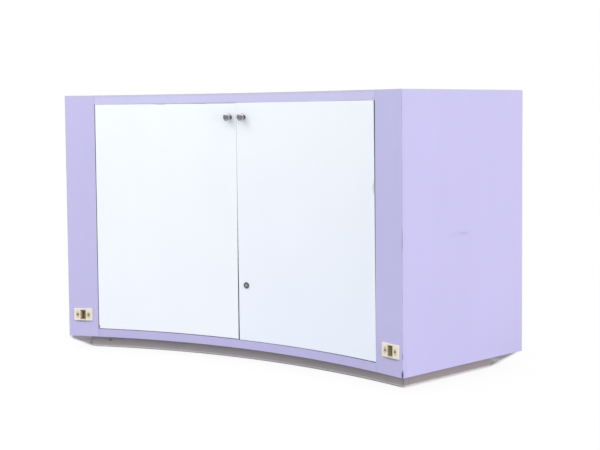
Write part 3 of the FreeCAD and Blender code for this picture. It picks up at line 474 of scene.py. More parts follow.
def sink(bm, place, half_length, half_width, level, depth):
    """Sinks a straight-sided recess into the face that lies at one level of a piece's own place."""
    turn = place.to_3x3()
    into_place = place.inverted()
    sides = []
    for sign in SIDES.values():
        sides.append(((sign * half_length, 0, 0), (1, 0, 0)))
        sides.append(((0, sign * half_width, 0), (0, 1, 0)))

    def level_faces(reach):
        found = []
        for face in bm.faces:
            point = into_place @ face.calc_center_median()
            if abs(point.z - level) < SAME_PLACE and abs(point.x) < reach:
                found.append(face)
        return found

    for point, normal in sides:
        faces = level_faces(2 * half_length + half_width)
        # A dict keeps each part once, in the order found, so that every run cuts alike.
        edges = dict.fromkeys(edge for face in faces for edge in face.edges)
        corners = dict.fromkeys(corner for face in faces for corner in face.verts)
        bmesh.ops.bisect_plane(bm, geom=[*corners, *edges, *faces], plane_co=place @ Vector(point),
                               plane_no=turn @ Vector(normal))
    bed = [face for face in level_faces(half_length)
           if abs((into_place @ face.calc_center_median()).y) < half_width]
    sunk = bmesh.ops.extrude_face_region(bm, geom=bed)
    bmesh.ops.translate(bm, vec=turn @ Vector((0, 0, depth)), verts=corners_of(sunk))
    bmesh.ops.delete(bm, geom=[face for face in bed if face.is_valid], context="FACES_ONLY")
    bmesh.ops.recalc_face_normals(bm, faces=bm.faces)
    return bm


def sink_bed(bm, angle, level, depth):
    """Sinks the bed of a pivot leaf into the edge of a rail or a door."""
    place = seat(angle) @ Matrix.Translation((0, PIVOT_RADIUS, 0))
    return sink(bm, place, LEAF_HALF_LENGTH, LEAF_HALF_WIDTH, level, depth)


# The top rail's finish, painted paler as painted light.
lit_rail_laminate = lilac("lit_rail_laminate", LIT_LILAC, wear=0.25)
rails = (
    ("bottom", PLINTH_HEIGHT, RAIL_TOP, RAIL_TOP, -LEAF_THICKNESS, foot_shaded_laminate),
    ("top", HEAD_RAIL, CASE_TOP, HEAD_RAIL, LEAF_THICKNESS, lit_rail_laminate),
)
for name, bottom, top, level, depth, finish in rails:
    rail = ease(bent(strip(STAFF_RADIUS, FRAME_BACK, bottom, top), -STILE_EDGE, STILE_EDGE), RAIL_EASE)
    for sign in SIDES.values():
        rail = sink_bed(rail, sign * PIVOT_ANGLE, level, depth)
    set_piece(name + "_rail_board", rail, "case", finish, "lilac_laminate", name + "_rail")

# Pivot leaves in the rails
# Each leaf is a zinc-plated steel plate with a pressed thrust boss and a riveted pin, let into its rail and
# held by two countersunk screws.


def metal(name, tone, rough, stretch=(1, 1, 1)):
    """Plain metal: its tone and polish vary a little, drawn out along one direction if it is brushed."""
    material, tree, shader = new_finish(name)
    patchy = cloud(tree, scale=60.0, low=0.86, high=1.05, stretch=stretch)
    fill(tree, shader, {
        "Metallic": 1.0,
        "Base Color": blend(tree, 1.0, tone, patchy, "MULTIPLY"),
        "Roughness": cloud(tree, scale=140.0, low=rough * 0.8, high=rough * 1.25, stretch=stretch),
    })
    return material


def dress(material, *names):
    """Gives CAD nodes whose shape is right their finish."""
    for name in names:
        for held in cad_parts[name].material_slots:
            held.material = material


zinc_steel = metal("zinc_steel", colour(196, 196, 192), rough=0.34, stretch=(1, 1, 0.2))
dress(zinc_steel, "frame_pivot_leaves", "frame_pivot_screws")

# Sockets
# Each stile has an almond moulded plate, rounded at its edges, over a deep ribbed insert that takes a plug.
# Two slotted oval-head screws go through the stile, and a steel box closes the back.
PLATE_HALF_LENGTH = 0.0375
PLATE_HALF_HEIGHT = 0.023
PLATE_THICKNESS = 0.0045
PLATE_BACK = math.sqrt(STAFF_RADIUS ** 2 - PLATE_HALF_LENGTH ** 2)
PLATE_FRONT = PLATE_BACK - PLATE_THICKNESS
PLATE_EDGE = 0.002
MOUTH_HALF_LENGTH = 0.0115
MOUTH_HALF_HEIGHT = 0.0185
MOUTH_EASE = 0.0007
PLATE_SCREW_OFFSET = 0.02175
SCREW_STEPS = 24
SCREW_STAIN = colour(176, 163, 120)
STAIN_RADII = (0.010, 0.010, 0.015)
STAIN_STRENGTH = 0.6
SLOT_HALF_LENGTH = 0.0028
SLOT_HALF_WIDTH = 0.0005
SLOT_DEPTH = -0.0009
SCREW_TOP = 0.0004
SCREW_PROFILE = [
    (0, -0.0165), (0.0008, -0.016), (0.0017, -0.014), (0.0019, -0.0135), (0.0019, -0.0019),
    (0.0036, -0.0001), (0.0036, 0.0), (0.0033, 0.0003), (0.0031, SCREW_TOP), (0, SCREW_TOP),
]


def plastic(name, tone, rough, marks=()):
    """Moulded plastic with a slightly uneven tone and sheen, and marks if there are any."""
    material, tree, shader = new_finish(name)
    shade = blend(tree, 1.0, tone, cloud(tree, scale=35.0, low=0.93, high=1.03), "MULTIPLY")
    fill(tree, shader, {
        "Base Color": marked(tree, shade, marks),
        "Roughness": cloud(tree, scale=80.0, low=rough - 0.06, high=rough + 0.08),
    })
    return material


def facing_staff(angle, along, out, height):
    """Takes a piece that was turned about Z to a place on the staff side, so that Z points to the staff."""
    return seat(angle) @ Matrix.Translation((along, out, height)) @ Matrix.Rotation(math.pi / 2, 4, "X")


def turned(profile, place, steps=48):
    """A turned piece: its profile, in radii and heights, spun round an axis that a matrix puts in place."""
    bm = bmesh.new()
    points = [bm.verts.new((radius, 0, height)) for radius, height in profile]
    lines = [bm.edges.new(pair) for pair in zip(points, points[1:])]
    bmesh.ops.spin(bm, geom=points + lines, cent=(0, 0, 0), axis=(0, 0, 1), angle=math.tau, steps=steps,
                   use_merge=True)
    bmesh.ops.remove_doubles(bm, verts=bm.verts, dist=SAME_PLACE)
    bmesh.ops.recalc_face_normals(bm, faces=bm.faces)
    bmesh.ops.transform(bm, matrix=place, verts=bm.verts)
    return bm


screw_stains = []
for side, angle in socket_angles.items():
    for sign in SIDES.values():
        head = seat(angle) @ Vector((sign * PLATE_SCREW_OFFSET, PLATE_FRONT, SOCKET_HEIGHTS[side]))
        screw_stains.append((head, STAIN_RADII, SCREW_STAIN, STAIN_STRENGTH))
almond_plastic = plastic("almond_plastic", colour(237, 229, 210), rough=0.24, marks=screw_stains)
socket_plastic = plastic("socket_plastic", colour(196, 184, 156), rough=0.5)
old_screw = metal("old_screw", colour(104, 88, 62), rough=0.5)
screws = []
for side, angle in socket_angles.items():
    middle = SOCKET_HEIGHTS[side]
    plate = block((-PLATE_HALF_LENGTH, PLATE_FRONT, middle - PLATE_HALF_HEIGHT),
                  (PLATE_HALF_LENGTH, PLATE_BACK, middle + PLATE_HALF_HEIGHT), angle)
    plate = ease(plate, PLATE_EDGE, face_plane(angle, PLATE_BACK))
    plate = saw_opening(plate, angle, MOUTH_HALF_LENGTH, middle, MOUTH_HALF_HEIGHT)
    into_place = seat(angle).inverted()
    mouth = []
    for edge in plate.edges:
        ends = [into_place @ corner.co for corner in edge.verts]
        in_front = all(abs(end.y - PLATE_FRONT) < SAME_PLACE for end in ends)
        at_mouth = all(abs(end.x) < MOUTH_HALF_LENGTH + SAME_PLACE for end in ends)
        if in_front and at_mouth and edge.calc_face_angle(0) > SHARP:
            mouth.append(edge)
    round_off(plate, mouth, MOUTH_EASE)
    set_piece(side + "_plate", plate, "case", almond_plastic, "almond_plastic", side + "_socket_plate")
    for sign in SIDES.values():
        head = facing_staff(angle, sign * PLATE_SCREW_OFFSET, PLATE_FRONT, middle)
        screw = turned(SCREW_PROFILE, head, SCREW_STEPS)
        screws.append(sink(screw, head, SLOT_HALF_LENGTH, SLOT_HALF_WIDTH, SCREW_TOP, SLOT_DEPTH))
set_piece("plate_screws", joined(screws), "case", old_screw, "zinc_steel", "socket_plate_screws")
dress(socket_plastic, "left_socket_insert", "right_socket_insert")
dress(zinc_steel, "socket_boxes")

# Customer side boards
# The lower panel and the top rail are bent boards in lilac laminate between the end panels. A groove in the
# rail's underside takes the head of the glass, and the deck is melamine board on three cleats.
DECK_BOTTOM = 0.324
DECK_TOP = DECK_BOTTOM + BOARD
DECK_SETBACK = 0.035
DECK_EDGE = FRAME_BACK + DECK_SETBACK
CLEAT = 0.019
GLASS_MIDDLE = CUSTOMER_RADIUS - BOARD / 2
GROOVE_CHEEK = 0.0055
GROOVE_DEPTH = 0.010


def channel(inner, outer, wall, back, web, mouth):
    """The section of a channel, as distances out and places from its back past its web to its mouth."""
    return [
        (inner, back), (outer, back), (outer, mouth), (outer - wall, mouth), (outer - wall, web),
        (inner + wall, web), (inner + wall, mouth), (inner, mouth),
    ]


lower = across(strip(CUSTOMER_INSIDE, CUSTOMER_RADIUS, PLINTH_HEIGHT, DECK_TOP), BOARD)
set_piece("customer_panel", ease(lower, LAMINATE_EASE), "case", lilac_laminate, "lilac_laminate",
          "customer_lower_panel")
grooved = channel(CUSTOMER_INSIDE, CUSTOMER_RADIUS, GROOVE_CHEEK, CASE_TOP, HEAD_RAIL + GROOVE_DEPTH,
                  HEAD_RAIL)
set_piece("customer_rail", ease(across(grooved, BOARD), LAMINATE_EASE), "case", lilac_laminate,
          "lilac_laminate", "customer_top_rail")
deck = across(strip(DECK_EDGE, CUSTOMER_INSIDE, DECK_BOTTOM, DECK_TOP), BOARD)
set_piece("deck_board", ease(deck, BOARD_EASE), "case", melamine, "inner_board", "display_deck")
cleat_bottom = DECK_BOTTOM - CLEAT
cleat_back = CUSTOMER_INSIDE - CLEAT
cleat_stop = math.sqrt(cleat_back ** 2 - (BOARD + CLEAT) ** 2)
cleats = [ease(across(strip(cleat_back, CUSTOMER_INSIDE, cleat_bottom, DECK_BOTTOM), BOARD), BOARD_EASE)]
for sign in SIDES.values():
    cleat = end_block(sign, BOARD, CLEAT, DECK_EDGE, cleat_stop, cleat_bottom, DECK_BOTTOM)
    cleats.append(ease(cleat, BOARD_EASE))
set_piece("cleats", joined(cleats), "case", melamine, "inner_board", "deck_cleats")

# Glass channels
# Satin anodised aluminium channels hold the foot and the two ends of the curved glass. They are cut from
# drawn lengths and pinned to the deck's edge and the end panels.
CHANNEL_HALF_WIDTH = 0.0065
CHANNEL_HEIGHT = 0.014
CHANNEL_WALL = 0.0015
CHANNEL_EASE = 0.0003
channel_aluminium = metal("channel_aluminium", colour(206, 206, 208), rough=0.36, stretch=(1, 1, 0.15))
glass_channel = (GLASS_MIDDLE - CHANNEL_HALF_WIDTH, GLASS_MIDDLE + CHANNEL_HALF_WIDTH, CHANNEL_WALL)
sill_top = DECK_TOP + CHANNEL_HEIGHT
sill_floor = DECK_TOP + CHANNEL_WALL


def upright(outline, bottom, top, angle):
    """An upright length of a profile, whose outline is given out and along at an angle of the ring."""
    bm = bmesh.new()
    place = seat(angle)
    face = bm.faces.new([bm.verts.new(place @ Vector((along, out, bottom))) for out, along in outline])
    raised = bmesh.ops.extrude_face_region(bm, geom=[face])
    bmesh.ops.translate(bm, vec=(0, 0, top - bottom), verts=corners_of(raised))
    bmesh.ops.recalc_face_normals(bm, faces=bm.faces)
    return bm


sill = across(channel(*glass_channel, DECK_TOP, sill_floor, sill_top), BOARD)
set_piece("sill_channel", ease(sill, CHANNEL_EASE), "case", channel_aluminium, "channel_aluminium",
          "glass_sill_channel")
end_channels = []
for sign in SIDES.values():
    back = -sign * BOARD
    outline = channel(*glass_channel, back, back - sign * CHANNEL_WALL, back - sign * CHANNEL_HEIGHT)
    end_channels.append(ease(upright(outline, sill_top, HEAD_RAIL, sign * HALF_ANGLE), CHANNEL_EASE))
set_piece("end_channels", joined(end_channels), "case", channel_aluminium, "channel_aluminium",
          "glass_end_channels")

# Glass
# The customer side is closed by a curved pane and the top by a flat one that lies on ledges, flush with the
# boards round it. A curved glass shelf stands inside. All have ground edges, which look green, and the
# material lets the light of lamps and of the room straight through.
GLASS_EASE = 0.0006
GLASS_SEAT = 0.0003
GLASS_EDGE_SHARE = 0.2
GLASS_TONE = colour(251, 255, 253)
GLASS_EDGE_TONE = colour(158, 212, 190)
GLASS_SHADOW = colour(244, 251, 248)
GLASS_HAZE = 0.02
GROUND_EDGE = 0.3
PANE_HALF_THICKNESS = 0.003
PANE_TOP = 0.940
PANE_INSET = 0.0215
TOP_PANE_GAP = 0.0005
LEDGE_TOP = 0.956
SHELF_BOTTOM = 0.643
SHELF_TOP = 0.651
SHELF_STAFF_SETBACK = 0.101
SHELF_CUSTOMER_SETBACK = 0.093
SHELF_INSET = 0.021
clear_glass, glass_tree, glass_shader = new_finish("clear_glass")
glass_edge = add(glass_tree, "Attribute", {}, attribute_name="worn").outputs["Fac"]
glass_haze = cloud(glass_tree, scale=6.0, low=0.0, high=GLASS_HAZE)
ground = combine(glass_tree, "MULTIPLY", glass_edge, GROUND_EDGE)
fill(glass_tree, glass_shader, {
    "Transmission Weight": 1.0,
    "IOR": 1.5,
    "Base Color": blend(glass_tree, glass_edge, GLASS_TONE, GLASS_EDGE_TONE),
    "Roughness": combine(glass_tree, "ADD", glass_haze, ground),
})
glass_path = add(glass_tree, "LightPath", {}).outputs
glass_light = combine(glass_tree, "MAXIMUM", glass_path["Is Shadow Ray"], glass_path["Is Diffuse Ray"])
glass_clear = add(glass_tree, "BsdfTransparent", {"Color": GLASS_SHADOW}).outputs[0]
glass_mix = add(glass_tree, "MixShader", {0: glass_light, 1: glass_shader.outputs[0], 2: glass_clear})
fill(glass_tree, glass_tree.nodes["Material Output"], {"Surface": glass_mix.outputs[0]})
panes = (
    ("curved_pane", "customer_glass", GLASS_MIDDLE - PANE_HALF_THICKNESS, GLASS_MIDDLE + PANE_HALF_THICKNESS,
     sill_floor, PANE_TOP, PANE_INSET),
    ("top_pane", "top_glass", FRAME_BACK + TOP_PANE_GAP, CUSTOMER_INSIDE - TOP_PANE_GAP,
     LEDGE_TOP + GLASS_SEAT, CASE_TOP, BOARD + TOP_PANE_GAP),
    ("shelf_pane", "glass_shelf", FRAME_BACK + SHELF_STAFF_SETBACK, CUSTOMER_INSIDE - SHELF_CUSTOMER_SETBACK,
     SHELF_BOTTOM + GLASS_SEAT, SHELF_TOP, SHELF_INSET),
)
for name, node, inner, outer, bottom, top, inset in panes:
    pane = ease(across(strip(inner, outer, bottom, top), inset), GLASS_EASE)
    worn = pane.faces.layers.float["worn"]
    large = max(face.calc_area() for face in pane.faces)
    for face in pane.faces:
        if face.calc_area() < large * GLASS_EDGE_SHARE:
            face[worn] = 1
    set_piece(name, pane, "case", clear_glass, "clear_glass", node)

# Ledges
# Melamine battens round the inside of the top carry the top pane. They are glued and pinned to the rails and
# the end panels.
LEDGE_BOTTOM = 0.944
LEDGE_WIDTH = 0.028
END_LEDGE_WIDTH = 0.020
for name, inner in (("staff", FRAME_BACK), ("customer", CUSTOMER_INSIDE - LEDGE_WIDTH)):
    batten = across(strip(inner, inner + LEDGE_WIDTH, LEDGE_BOTTOM, LEDGE_TOP), BOARD)
    set_piece(name + "_batten", ease(batten, BOARD_EASE), "case", melamine, "inner_board", name + "_ledge")
end_ledge_stop = math.sqrt((CUSTOMER_INSIDE - LEDGE_WIDTH) ** 2 - (BOARD + END_LEDGE_WIDTH) ** 2)
end_battens = []
for sign in SIDES.values():
    batten = end_block(sign, BOARD, END_LEDGE_WIDTH, FRAME_BACK + LEDGE_WIDTH, end_ledge_stop, LEDGE_BOTTOM,
                       LEDGE_TOP)
    end_battens.append(ease(batten, BOARD_EASE))
set_piece("end_battens", joined(end_battens), "case", melamine, "inner_board", "end_ledges")

# Shelf supports
# Aluminium bars screwed to the end panels and two chrome posts on the deck carry the glass shelf. The posts
# are turned, with a broad foot and a groove below the top.
REST_HEIGHT = 0.012
REST_WIDTH = 0.018
REST_START = 2.170
REST_STOP = 2.510
POST_ANGLE = math.radians(6.5)
POST_RADIUS = 2.340
POST_PROFILE = [
    (0, 0), (0.0174, 0), (0.018, 0.0006), (0.018, 0.0022), (0.0172, 0.003), (0.0105, 0.0034),
    (0.0086, 0.0052), (0.008, 0.0085), (0.008, 0.2915), (0.0074, 0.2935), (0.0074, 0.2945), (0.008, 0.2965),
    (0.008, 0.2994), (0.0074, 0.3), (0, 0.3),
]
chrome = metal("chrome", colour(244, 245, 248), rough=0.07)
rests = []
posts = []
for sign in SIDES.values():
    rest = end_block(sign, BOARD, REST_WIDTH, REST_START, REST_STOP, SHELF_BOTTOM - REST_HEIGHT,
                     SHELF_BOTTOM)
    rests.append(ease(rest, CHANNEL_EASE))
    foot = seat(sign * POST_ANGLE) @ Matrix.Translation((0, POST_RADIUS, DECK_TOP))
    posts.append(turned(POST_PROFILE, foot))
set_piece("shelf_rests", joined(rests), "case", channel_aluminium, "channel_aluminium", "shelf_end_rests")
set_piece("posts", joined(posts), "case", chrome, "chrome", "shelf_posts")

# Case light
# A bent aluminium channel under the customer ledge holds a lamp strip behind an opal diffuser. Its wires
# run in a white plastic raceway up the left end from the socket.
LIGHT_INNER = 2.585
LIGHT_OUTER = 2.611
LIGHT_BOTTOM = 0.922
LIGHT_WALL = 0.002
DIFFUSER_GAP = 0.0002
DIFFUSER_THICKNESS = 0.002
housing = channel(LIGHT_INNER, LIGHT_OUTER, LIGHT_WALL, LEDGE_BOTTOM, LEDGE_BOTTOM - LIGHT_WALL,
                  LIGHT_BOTTOM)
set_piece("light_channel", ease(across(housing, BOARD), CHANNEL_EASE), "case", channel_aluminium,
          "channel_aluminium", "light_housing")
opal_plastic = plastic("opal_plastic", colour(244, 244, 240), rough=0.3)
lamp_plastic = plastic("lamp_plastic", colour(248, 241, 214), rough=0.4)
white_plastic = plastic("white_plastic", colour(232, 232, 228), rough=0.4)
diffuser_edge = LIGHT_WALL + DIFFUSER_GAP
diffuser = across(strip(LIGHT_INNER + diffuser_edge, LIGHT_OUTER - diffuser_edge, LIGHT_BOTTOM,
                        LIGHT_BOTTOM + DIFFUSER_THICKNESS), BOARD + DIFFUSER_GAP)
set_piece("opal_diffuser", ease(diffuser, CHANNEL_EASE), "case", opal_plastic, "diffuser_plastic",
          "light_diffuser")
dress(lamp_plastic, "lamp_strip")
dress(white_plastic, "wire_raceway")

# Doors
# Two bent boards in white laminate hang flush in the frame, with thin gaps. They turn on pivots let into
# their top and bottom edges, and their meeting edges are planed back so that one clears the other. They have
# settled, the right one most, and their raw edges are brown. Painted light pales the upper meeting edges
# and the right door's outer edge; painted shade darkens the doors towards the floor, the right one most,
# and lines the left door's top edge under the rail.
DOOR_BOTTOM = RAIL_TOP + DOOR_GAP
DOOR_TOP = HEAD_RAIL - DOOR_GAP
TOP_GAPS = {"left": 0.0006, "right": 0.0003}
BOTTOM_GAPS = {"left": 0.0021, "right": 0.0032}
TOP_RISES = {"left": -0.0017, "right": 0.0}
BOTTOM_RISES = {"left": 0.0010, "right": -0.0018}
LEANS = {"left": -0.0002, "right": 0.0054}
MEETING_SHIFT = 0.0035
EDGE_BEVEL = math.radians(10)
RAW_EDGE = 40.0
SIDEWAYS = 0.94
DOOR_EASE = 0.0005
WHITE = colour(241, 247, 252)
# Painted shade: the doors go over to these bluer tones towards the floor, the right one also darker.
WHITE_SHADED_FEET = {"left": colour(242, 247, 254), "right": colour(237, 244, 255)}
WHITE_SHADE_LOW = 0.10
WHITE_SHADE_HIGH = 0.85
WHITE_CORE = colour(88, 79, 74)
SMUDGED = colour(166, 164, 168)
KNOCKED = colour(104, 99, 102)
TOP_EDGE_SHADE = colour(168, 168, 178)
white_marks = [
    ((0.581, -0.319, 0.652), (0.009, 0.009, 0.026), SMUDGED, 0.60),
    ((-0.583, -0.320, 0.091), (0.006, 0.006, 0.009), KNOCKED, 0.85),
    # Painted shade: a thin grey line along the left door's top edge, under the rail.
    ((-0.320, -0.260, 0.9305), (0.030, 0.030, 0.004), TOP_EDGE_SHADE, 0.50),
    # Painted light: the next two pale the upper meeting edges and the right door's outer edge, in the gaps.
    ((-0.0042, -0.2325, 0.78), (0.0045, 0.03, 0.46), WHITE, 0.93),
    ((0.583, -0.320, 0.60), (0.010, 0.030, 0.90), WHITE, 0.25),
]
meeting_edges = {}
for side, sign in SIDES.items():
    meeting_edges[side] = (sign * DOOR_GAP / 2 - MEETING_SHIFT) / STAFF_RADIUS
    start, end = sorted((meeting_edges[side], sign * DOOR_EDGE))
    hung_bottom = RAIL_TOP + BOTTOM_GAPS[side]
    hung_top = HEAD_RAIL - TOP_GAPS[side]
    door = bent(strip(STAFF_RADIUS, FRAME_BACK, hung_bottom, hung_top), start, end)
    place = seat(meeting_edges[side])
    planed_off = place.to_3x3() @ Vector((-sign * math.cos(EDGE_BEVEL), math.sin(EDGE_BEVEL), 0))
    saw_off(door, place @ Vector((0, STAFF_RADIUS, 0)), planed_off)
    door = ease(door, DOOR_EASE)
    middle = seat((start + end) / 2) @ Matrix.Translation((0, 0, (DOOR_BOTTOM + DOOR_TOP) / 2))
    worn = door.faces.layers.float["worn"]
    for face in door.faces:
        if abs((middle.to_3x3().transposed() @ face.normal).x) > SIDEWAYS:
            face[worn] = RAW_EDGE
    door = sink_bed(door, sign * PIVOT_ANGLE, hung_bottom, DOOR_BOTTOM + LEAF_THICKNESS - hung_bottom)
    door = sink_bed(door, sign * PIVOT_ANGLE, hung_top, DOOR_TOP - LEAF_THICKNESS - hung_top)
    to_middle = middle.inverted()
    half_length = STAFF_RADIUS * (end - start) / 2
    for corner in door.verts:
        point = to_middle @ corner.co
        rise = TOP_RISES[side] if point.z > 0 else BOTTOM_RISES[side]
        corner.co.z += rise * (1 - sign * point.x / half_length) / 2
    lean = middle @ Matrix.Shear("XY", 4, (-LEANS[side], 0)) @ to_middle
    bmesh.ops.transform(door, matrix=lean, verts=door.verts)
    # Each door's own copy of the finish carries its painted shade towards the floor.
    finish = laminate(side + "_white_laminate", WHITE, WHITE_CORE, wear=0.30, gloss=0.42, mottle=0.012,
                      marks=white_marks, foot=(WHITE_SHADED_FEET[side], WHITE_SHADE_LOW, WHITE_SHADE_HIGH))
    set_piece(side + "_door_board", door, side + "_door", finish, "white_laminate", side + "_door")
    dress(zinc_steel, side + "_door_pivot_leaves", side + "_door_pivot_screws")

# Knobs
# Each door has a turned knob by its meeting edge, near the top: a slightly domed chrome cap on a dull steel
# neck, which has a small foot and flares out to a rim under the cap. The neck's darkness is painted shade,
# standing in for shadow and dark reflections round the waist. A screw through the door holds it.
KNOB_INSETS = {"left": 0.0265, "right": 0.0295}
KNOB_HEIGHT = 0.8805
NECK_PROFILE = [
    (0, 0.0001), (0.0086, 0.0001), (0.0090, 0.0006), (0.0089, 0.0013), (0.0075, 0.0030), (0.0060, 0.0045),
    (0.0057, 0.0068), (0.0058, 0.0090), (0.0066, 0.0125), (0.0095, 0.0148), (0.0125, 0.0163),
    (0.0138, 0.0176), (0.0143, 0.0188), (0.0145, 0.0200), (0.0145, 0.0216), (0.0143, 0.0219), (0, 0.0219),
]
HEAD_PROFILE = [
    (0, 0.0218), (0.0143, 0.0218), (0.01445, 0.0222), (0.0143, 0.0229), (0.0137, 0.0238), (0.0125, 0.0246),
    (0.0100, 0.0256), (0.0060, 0.0265), (0.0030, 0.0269), (0, 0.0270),
]
# Painted shade: the neck's dark tone stands in for shadow and dark reflections round the waist.
shaded_neck_steel = metal("shaded_neck_steel", colour(128, 127, 134), rough=0.4)
for side, sign in SIDES.items():
    angle = meeting_edges[side] + sign * KNOB_INSETS[side] / STAFF_RADIUS
    place = facing_staff(angle, 0, STAFF_RADIUS, KNOB_HEIGHT)
    head = turned(HEAD_PROFILE, place)
    set_piece(side + "_knob_head", head, side + "_door", chrome, "chrome", side + "_knob")
    set_piece(side + "_knob_neck", turned(NECK_PROFILE, place), side + "_door", shaded_neck_steel, "chrome")
    dress(zinc_steel, side + "_knob_screw")

# Cam lock
# A dull nickel barrel with a rounded rim is clamped in the right door by a nut. Its paler plug turns a cam
# behind the strike that hangs from the deck.
LOCK_INSET = 0.0345
LOCK_HEIGHT = 0.282
BARREL_PROFILE = [
    (0.0061, -0.029), (0.0095, -0.029), (0.0095, 0.0001), (0.0112, 0.0001), (0.0115, 0.0004),
    (0.0115, 0.0015), (0.0111, 0.0025), (0.0103, 0.0030), (0.0095, 0.0027), (0.0090, 0.0018),
    (0.0084, 0.0013), (0.0073, 0.0013), (0.0068, 0.0018), (0.0066, 0.0026), (0.0061, 0.0027),
    (0.0061, -0.029),
]
lock_steel = metal("lock_steel", colour(146, 146, 148), rough=0.30)
plug_steel = metal("plug_steel", colour(226, 224, 222), rough=0.36)
lock_angle = meeting_edges["right"] + LOCK_INSET / STAFF_RADIUS
barrel = turned(BARREL_PROFILE, facing_staff(lock_angle, 0, STAFF_RADIUS, LOCK_HEIGHT))
set_piece("barrel_of_lock", barrel, "right_door", lock_steel, "lock_steel", "lock_barrel")
dress(plug_steel, "lock_plug")
dress(lock_steel, "lock_nut")
dress(zinc_steel, "lock_cam", "cam_screw", "lock_strike")

# Catches and bolt
# Magnetic catches under the staff ledge stop and hold the doors by steel strikes: each is a white plastic
# case with two pole plates. A barrel bolt holds the left door.
CATCH_OFFSET = 0.161
CATCH_HALF_LENGTH = 0.017
CATCH_GAP = 0.0018
CATCH_DEPTH = 0.022
CATCH_HEIGHT = 0.040
CATCH_EASE = 0.0012
POLE_PROUD = 0.0012
POLE_OFFSET = 0.0075
POLE_HALF_THICKNESS = 0.0009
POLE_DEPTH = 0.012
POLE_BOTTOM = 0.908
POLE_TOP = 0.927
catch_front = FRAME_BACK + CATCH_GAP
catch_cases = []
pole_plates = []
for sign in SIDES.values():
    angle = sign * CATCH_OFFSET / STAFF_RADIUS
    catch = block((-CATCH_HALF_LENGTH, catch_front + POLE_PROUD, LEDGE_BOTTOM - CATCH_HEIGHT),
                  (CATCH_HALF_LENGTH, catch_front + CATCH_DEPTH, LEDGE_BOTTOM), angle)
    catch_cases.append(ease(catch, CATCH_EASE))
    for middle in (-POLE_OFFSET, POLE_OFFSET):
        pole = block((middle - POLE_HALF_THICKNESS, catch_front, POLE_BOTTOM),
                     (middle + POLE_HALF_THICKNESS, catch_front + POLE_DEPTH, POLE_TOP), angle)
        pole_plates.append(ease(pole, CHANNEL_EASE))
set_piece("catch_cases", joined(catch_cases), "case", white_plastic, "white_plastic", "magnetic_catches")
set_piece("pole_plates", joined(pole_plates), "case", zinc_steel, "zinc_steel")
dress(zinc_steel, "left_catch_strike", "right_catch_strike", "bolt_housing", "bolt_rod", "bolt_strike")

# Floor
# A plain pale floor takes the soft shadow. Under the case and behind it a painted shadow darkens it further,
# lightened by painted light at the plinth's corners. To the camera, in reflections and through glass it
# turns white away from the case, and it throws little light back.
FLOOR_RADIUS = 40.0
FLOOR_SEEN = colour(238, 238, 238)
FLOOR_BOUNCE = colour(160, 157, 155)
# Painted shadow: the tone the floor shows under the case and behind it.
FLOOR_SHADE = colour(150, 146, 150)
CORNER_LIGHT = colour(214, 208, 211)
CORNER_LIGHT_STRENGTH = 0.9
PURE_WHITE = (1, 1, 1, 1)
MATT = 0.9
NEAR_GLOW = 0.93
GLOW_START = 0.9
GLOW_END = 2.4
SHADE_SOFT = 0.013
SHADE_DEPTH = 0.12
SHADE_FADE = 0.08
SHADE_PAST_END = 0.15
left_end = seat(-HALF_ANGLE)
right_end = seat(HALF_ANGLE)
plinth_left = left_end @ Vector((PLINTH_END_RECESS, plinth_staff_face, 0))
plinth_right = right_end @ Vector((-PLINTH_END_RECESS, plinth_customer_face, 0))
# Each edge of the shade is a point on it and the direction into the shade.
shade_edges = (
    (plinth_left, (0.36, 0.933, 0)),
    (left_end @ Vector((SHADE_SOFT / 2, STAFF_RADIUS, 0)), (0.733, 0.680, 0)),
    (left_end @ Vector((-SHADE_PAST_END, 0, 0)), left_end.to_3x3() @ Vector((1, 0, 0))),
    (plinth_right, (-0.999, 0.045, 0)),
    (plinth_right, right_end.to_3x3() @ Vector((-1, 0, 0))),
)
# Painted light: paler patches in the painted shadow at the plinth's two corners.
corner_lights = [
    (plinth_left, (0.12, 0.12, 0.02), CORNER_LIGHT, CORNER_LIGHT_STRENGTH),
    (plinth_right, (0.15, 0.15, 0.02), CORNER_LIGHT, CORNER_LIGHT_STRENGTH),
]


def seen_directly(tree):
    """1 for rays from the camera, from a mirror surface or through glass, and 0 for light on the object."""
    path = add(tree, "LightPath", {}).outputs
    either = combine(tree, "MAXIMUM", path["Is Camera Ray"], path["Is Glossy Ray"])
    return combine(tree, "MAXIMUM", either, path["Is Transmission Ray"])


floor_paint, floor_tree, floor_shader = new_finish("floor_paint")
floor_seen = seen_directly(floor_tree)
floor_place = own_place(floor_tree)
from_middle = measure(floor_tree, "LENGTH", floor_place)
glow = ramp(floor_tree, from_middle, GLOW_START, GLOW_END, NEAR_GLOW, 1.0)
ring_reach = measure(floor_tree, "DISTANCE", floor_place, RING_CENTRE)
shade_end = CUSTOMER_RADIUS + SHADE_DEPTH
# Painted shadow: where all these fades hold, the floor shows the shade tone and loses its glow.
fades = [
    ramp(floor_tree, ring_reach, plinth_staff_face - SHADE_SOFT, plinth_staff_face, 0.0, 1.0),
    ramp(floor_tree, ring_reach, shade_end, shade_end + SHADE_FADE, 1.0, 0.0),
]
for point, inward in shade_edges:
    inside = measure(floor_tree, "DOT_PRODUCT", move(floor_tree, "SUBTRACT", floor_place, point), inward)
    fades.append(ramp(floor_tree, inside, -SHADE_SOFT, SHADE_SOFT, 0.0, 1.0))
under_case = fades[0]
for fade in fades[1:]:
    under_case = combine(floor_tree, "MULTIPLY", under_case, fade)
shade_tone = marked(floor_tree, FLOOR_SHADE, corner_lights)
seen_tone = blend(floor_tree, under_case, FLOOR_SEEN, shade_tone)
fill(floor_tree, floor_shader, {
    "Base Color": blend(floor_tree, floor_seen, FLOOR_BOUNCE, seen_tone),
    "Roughness": MATT,
    "Specular IOR Level": 0.0,
})
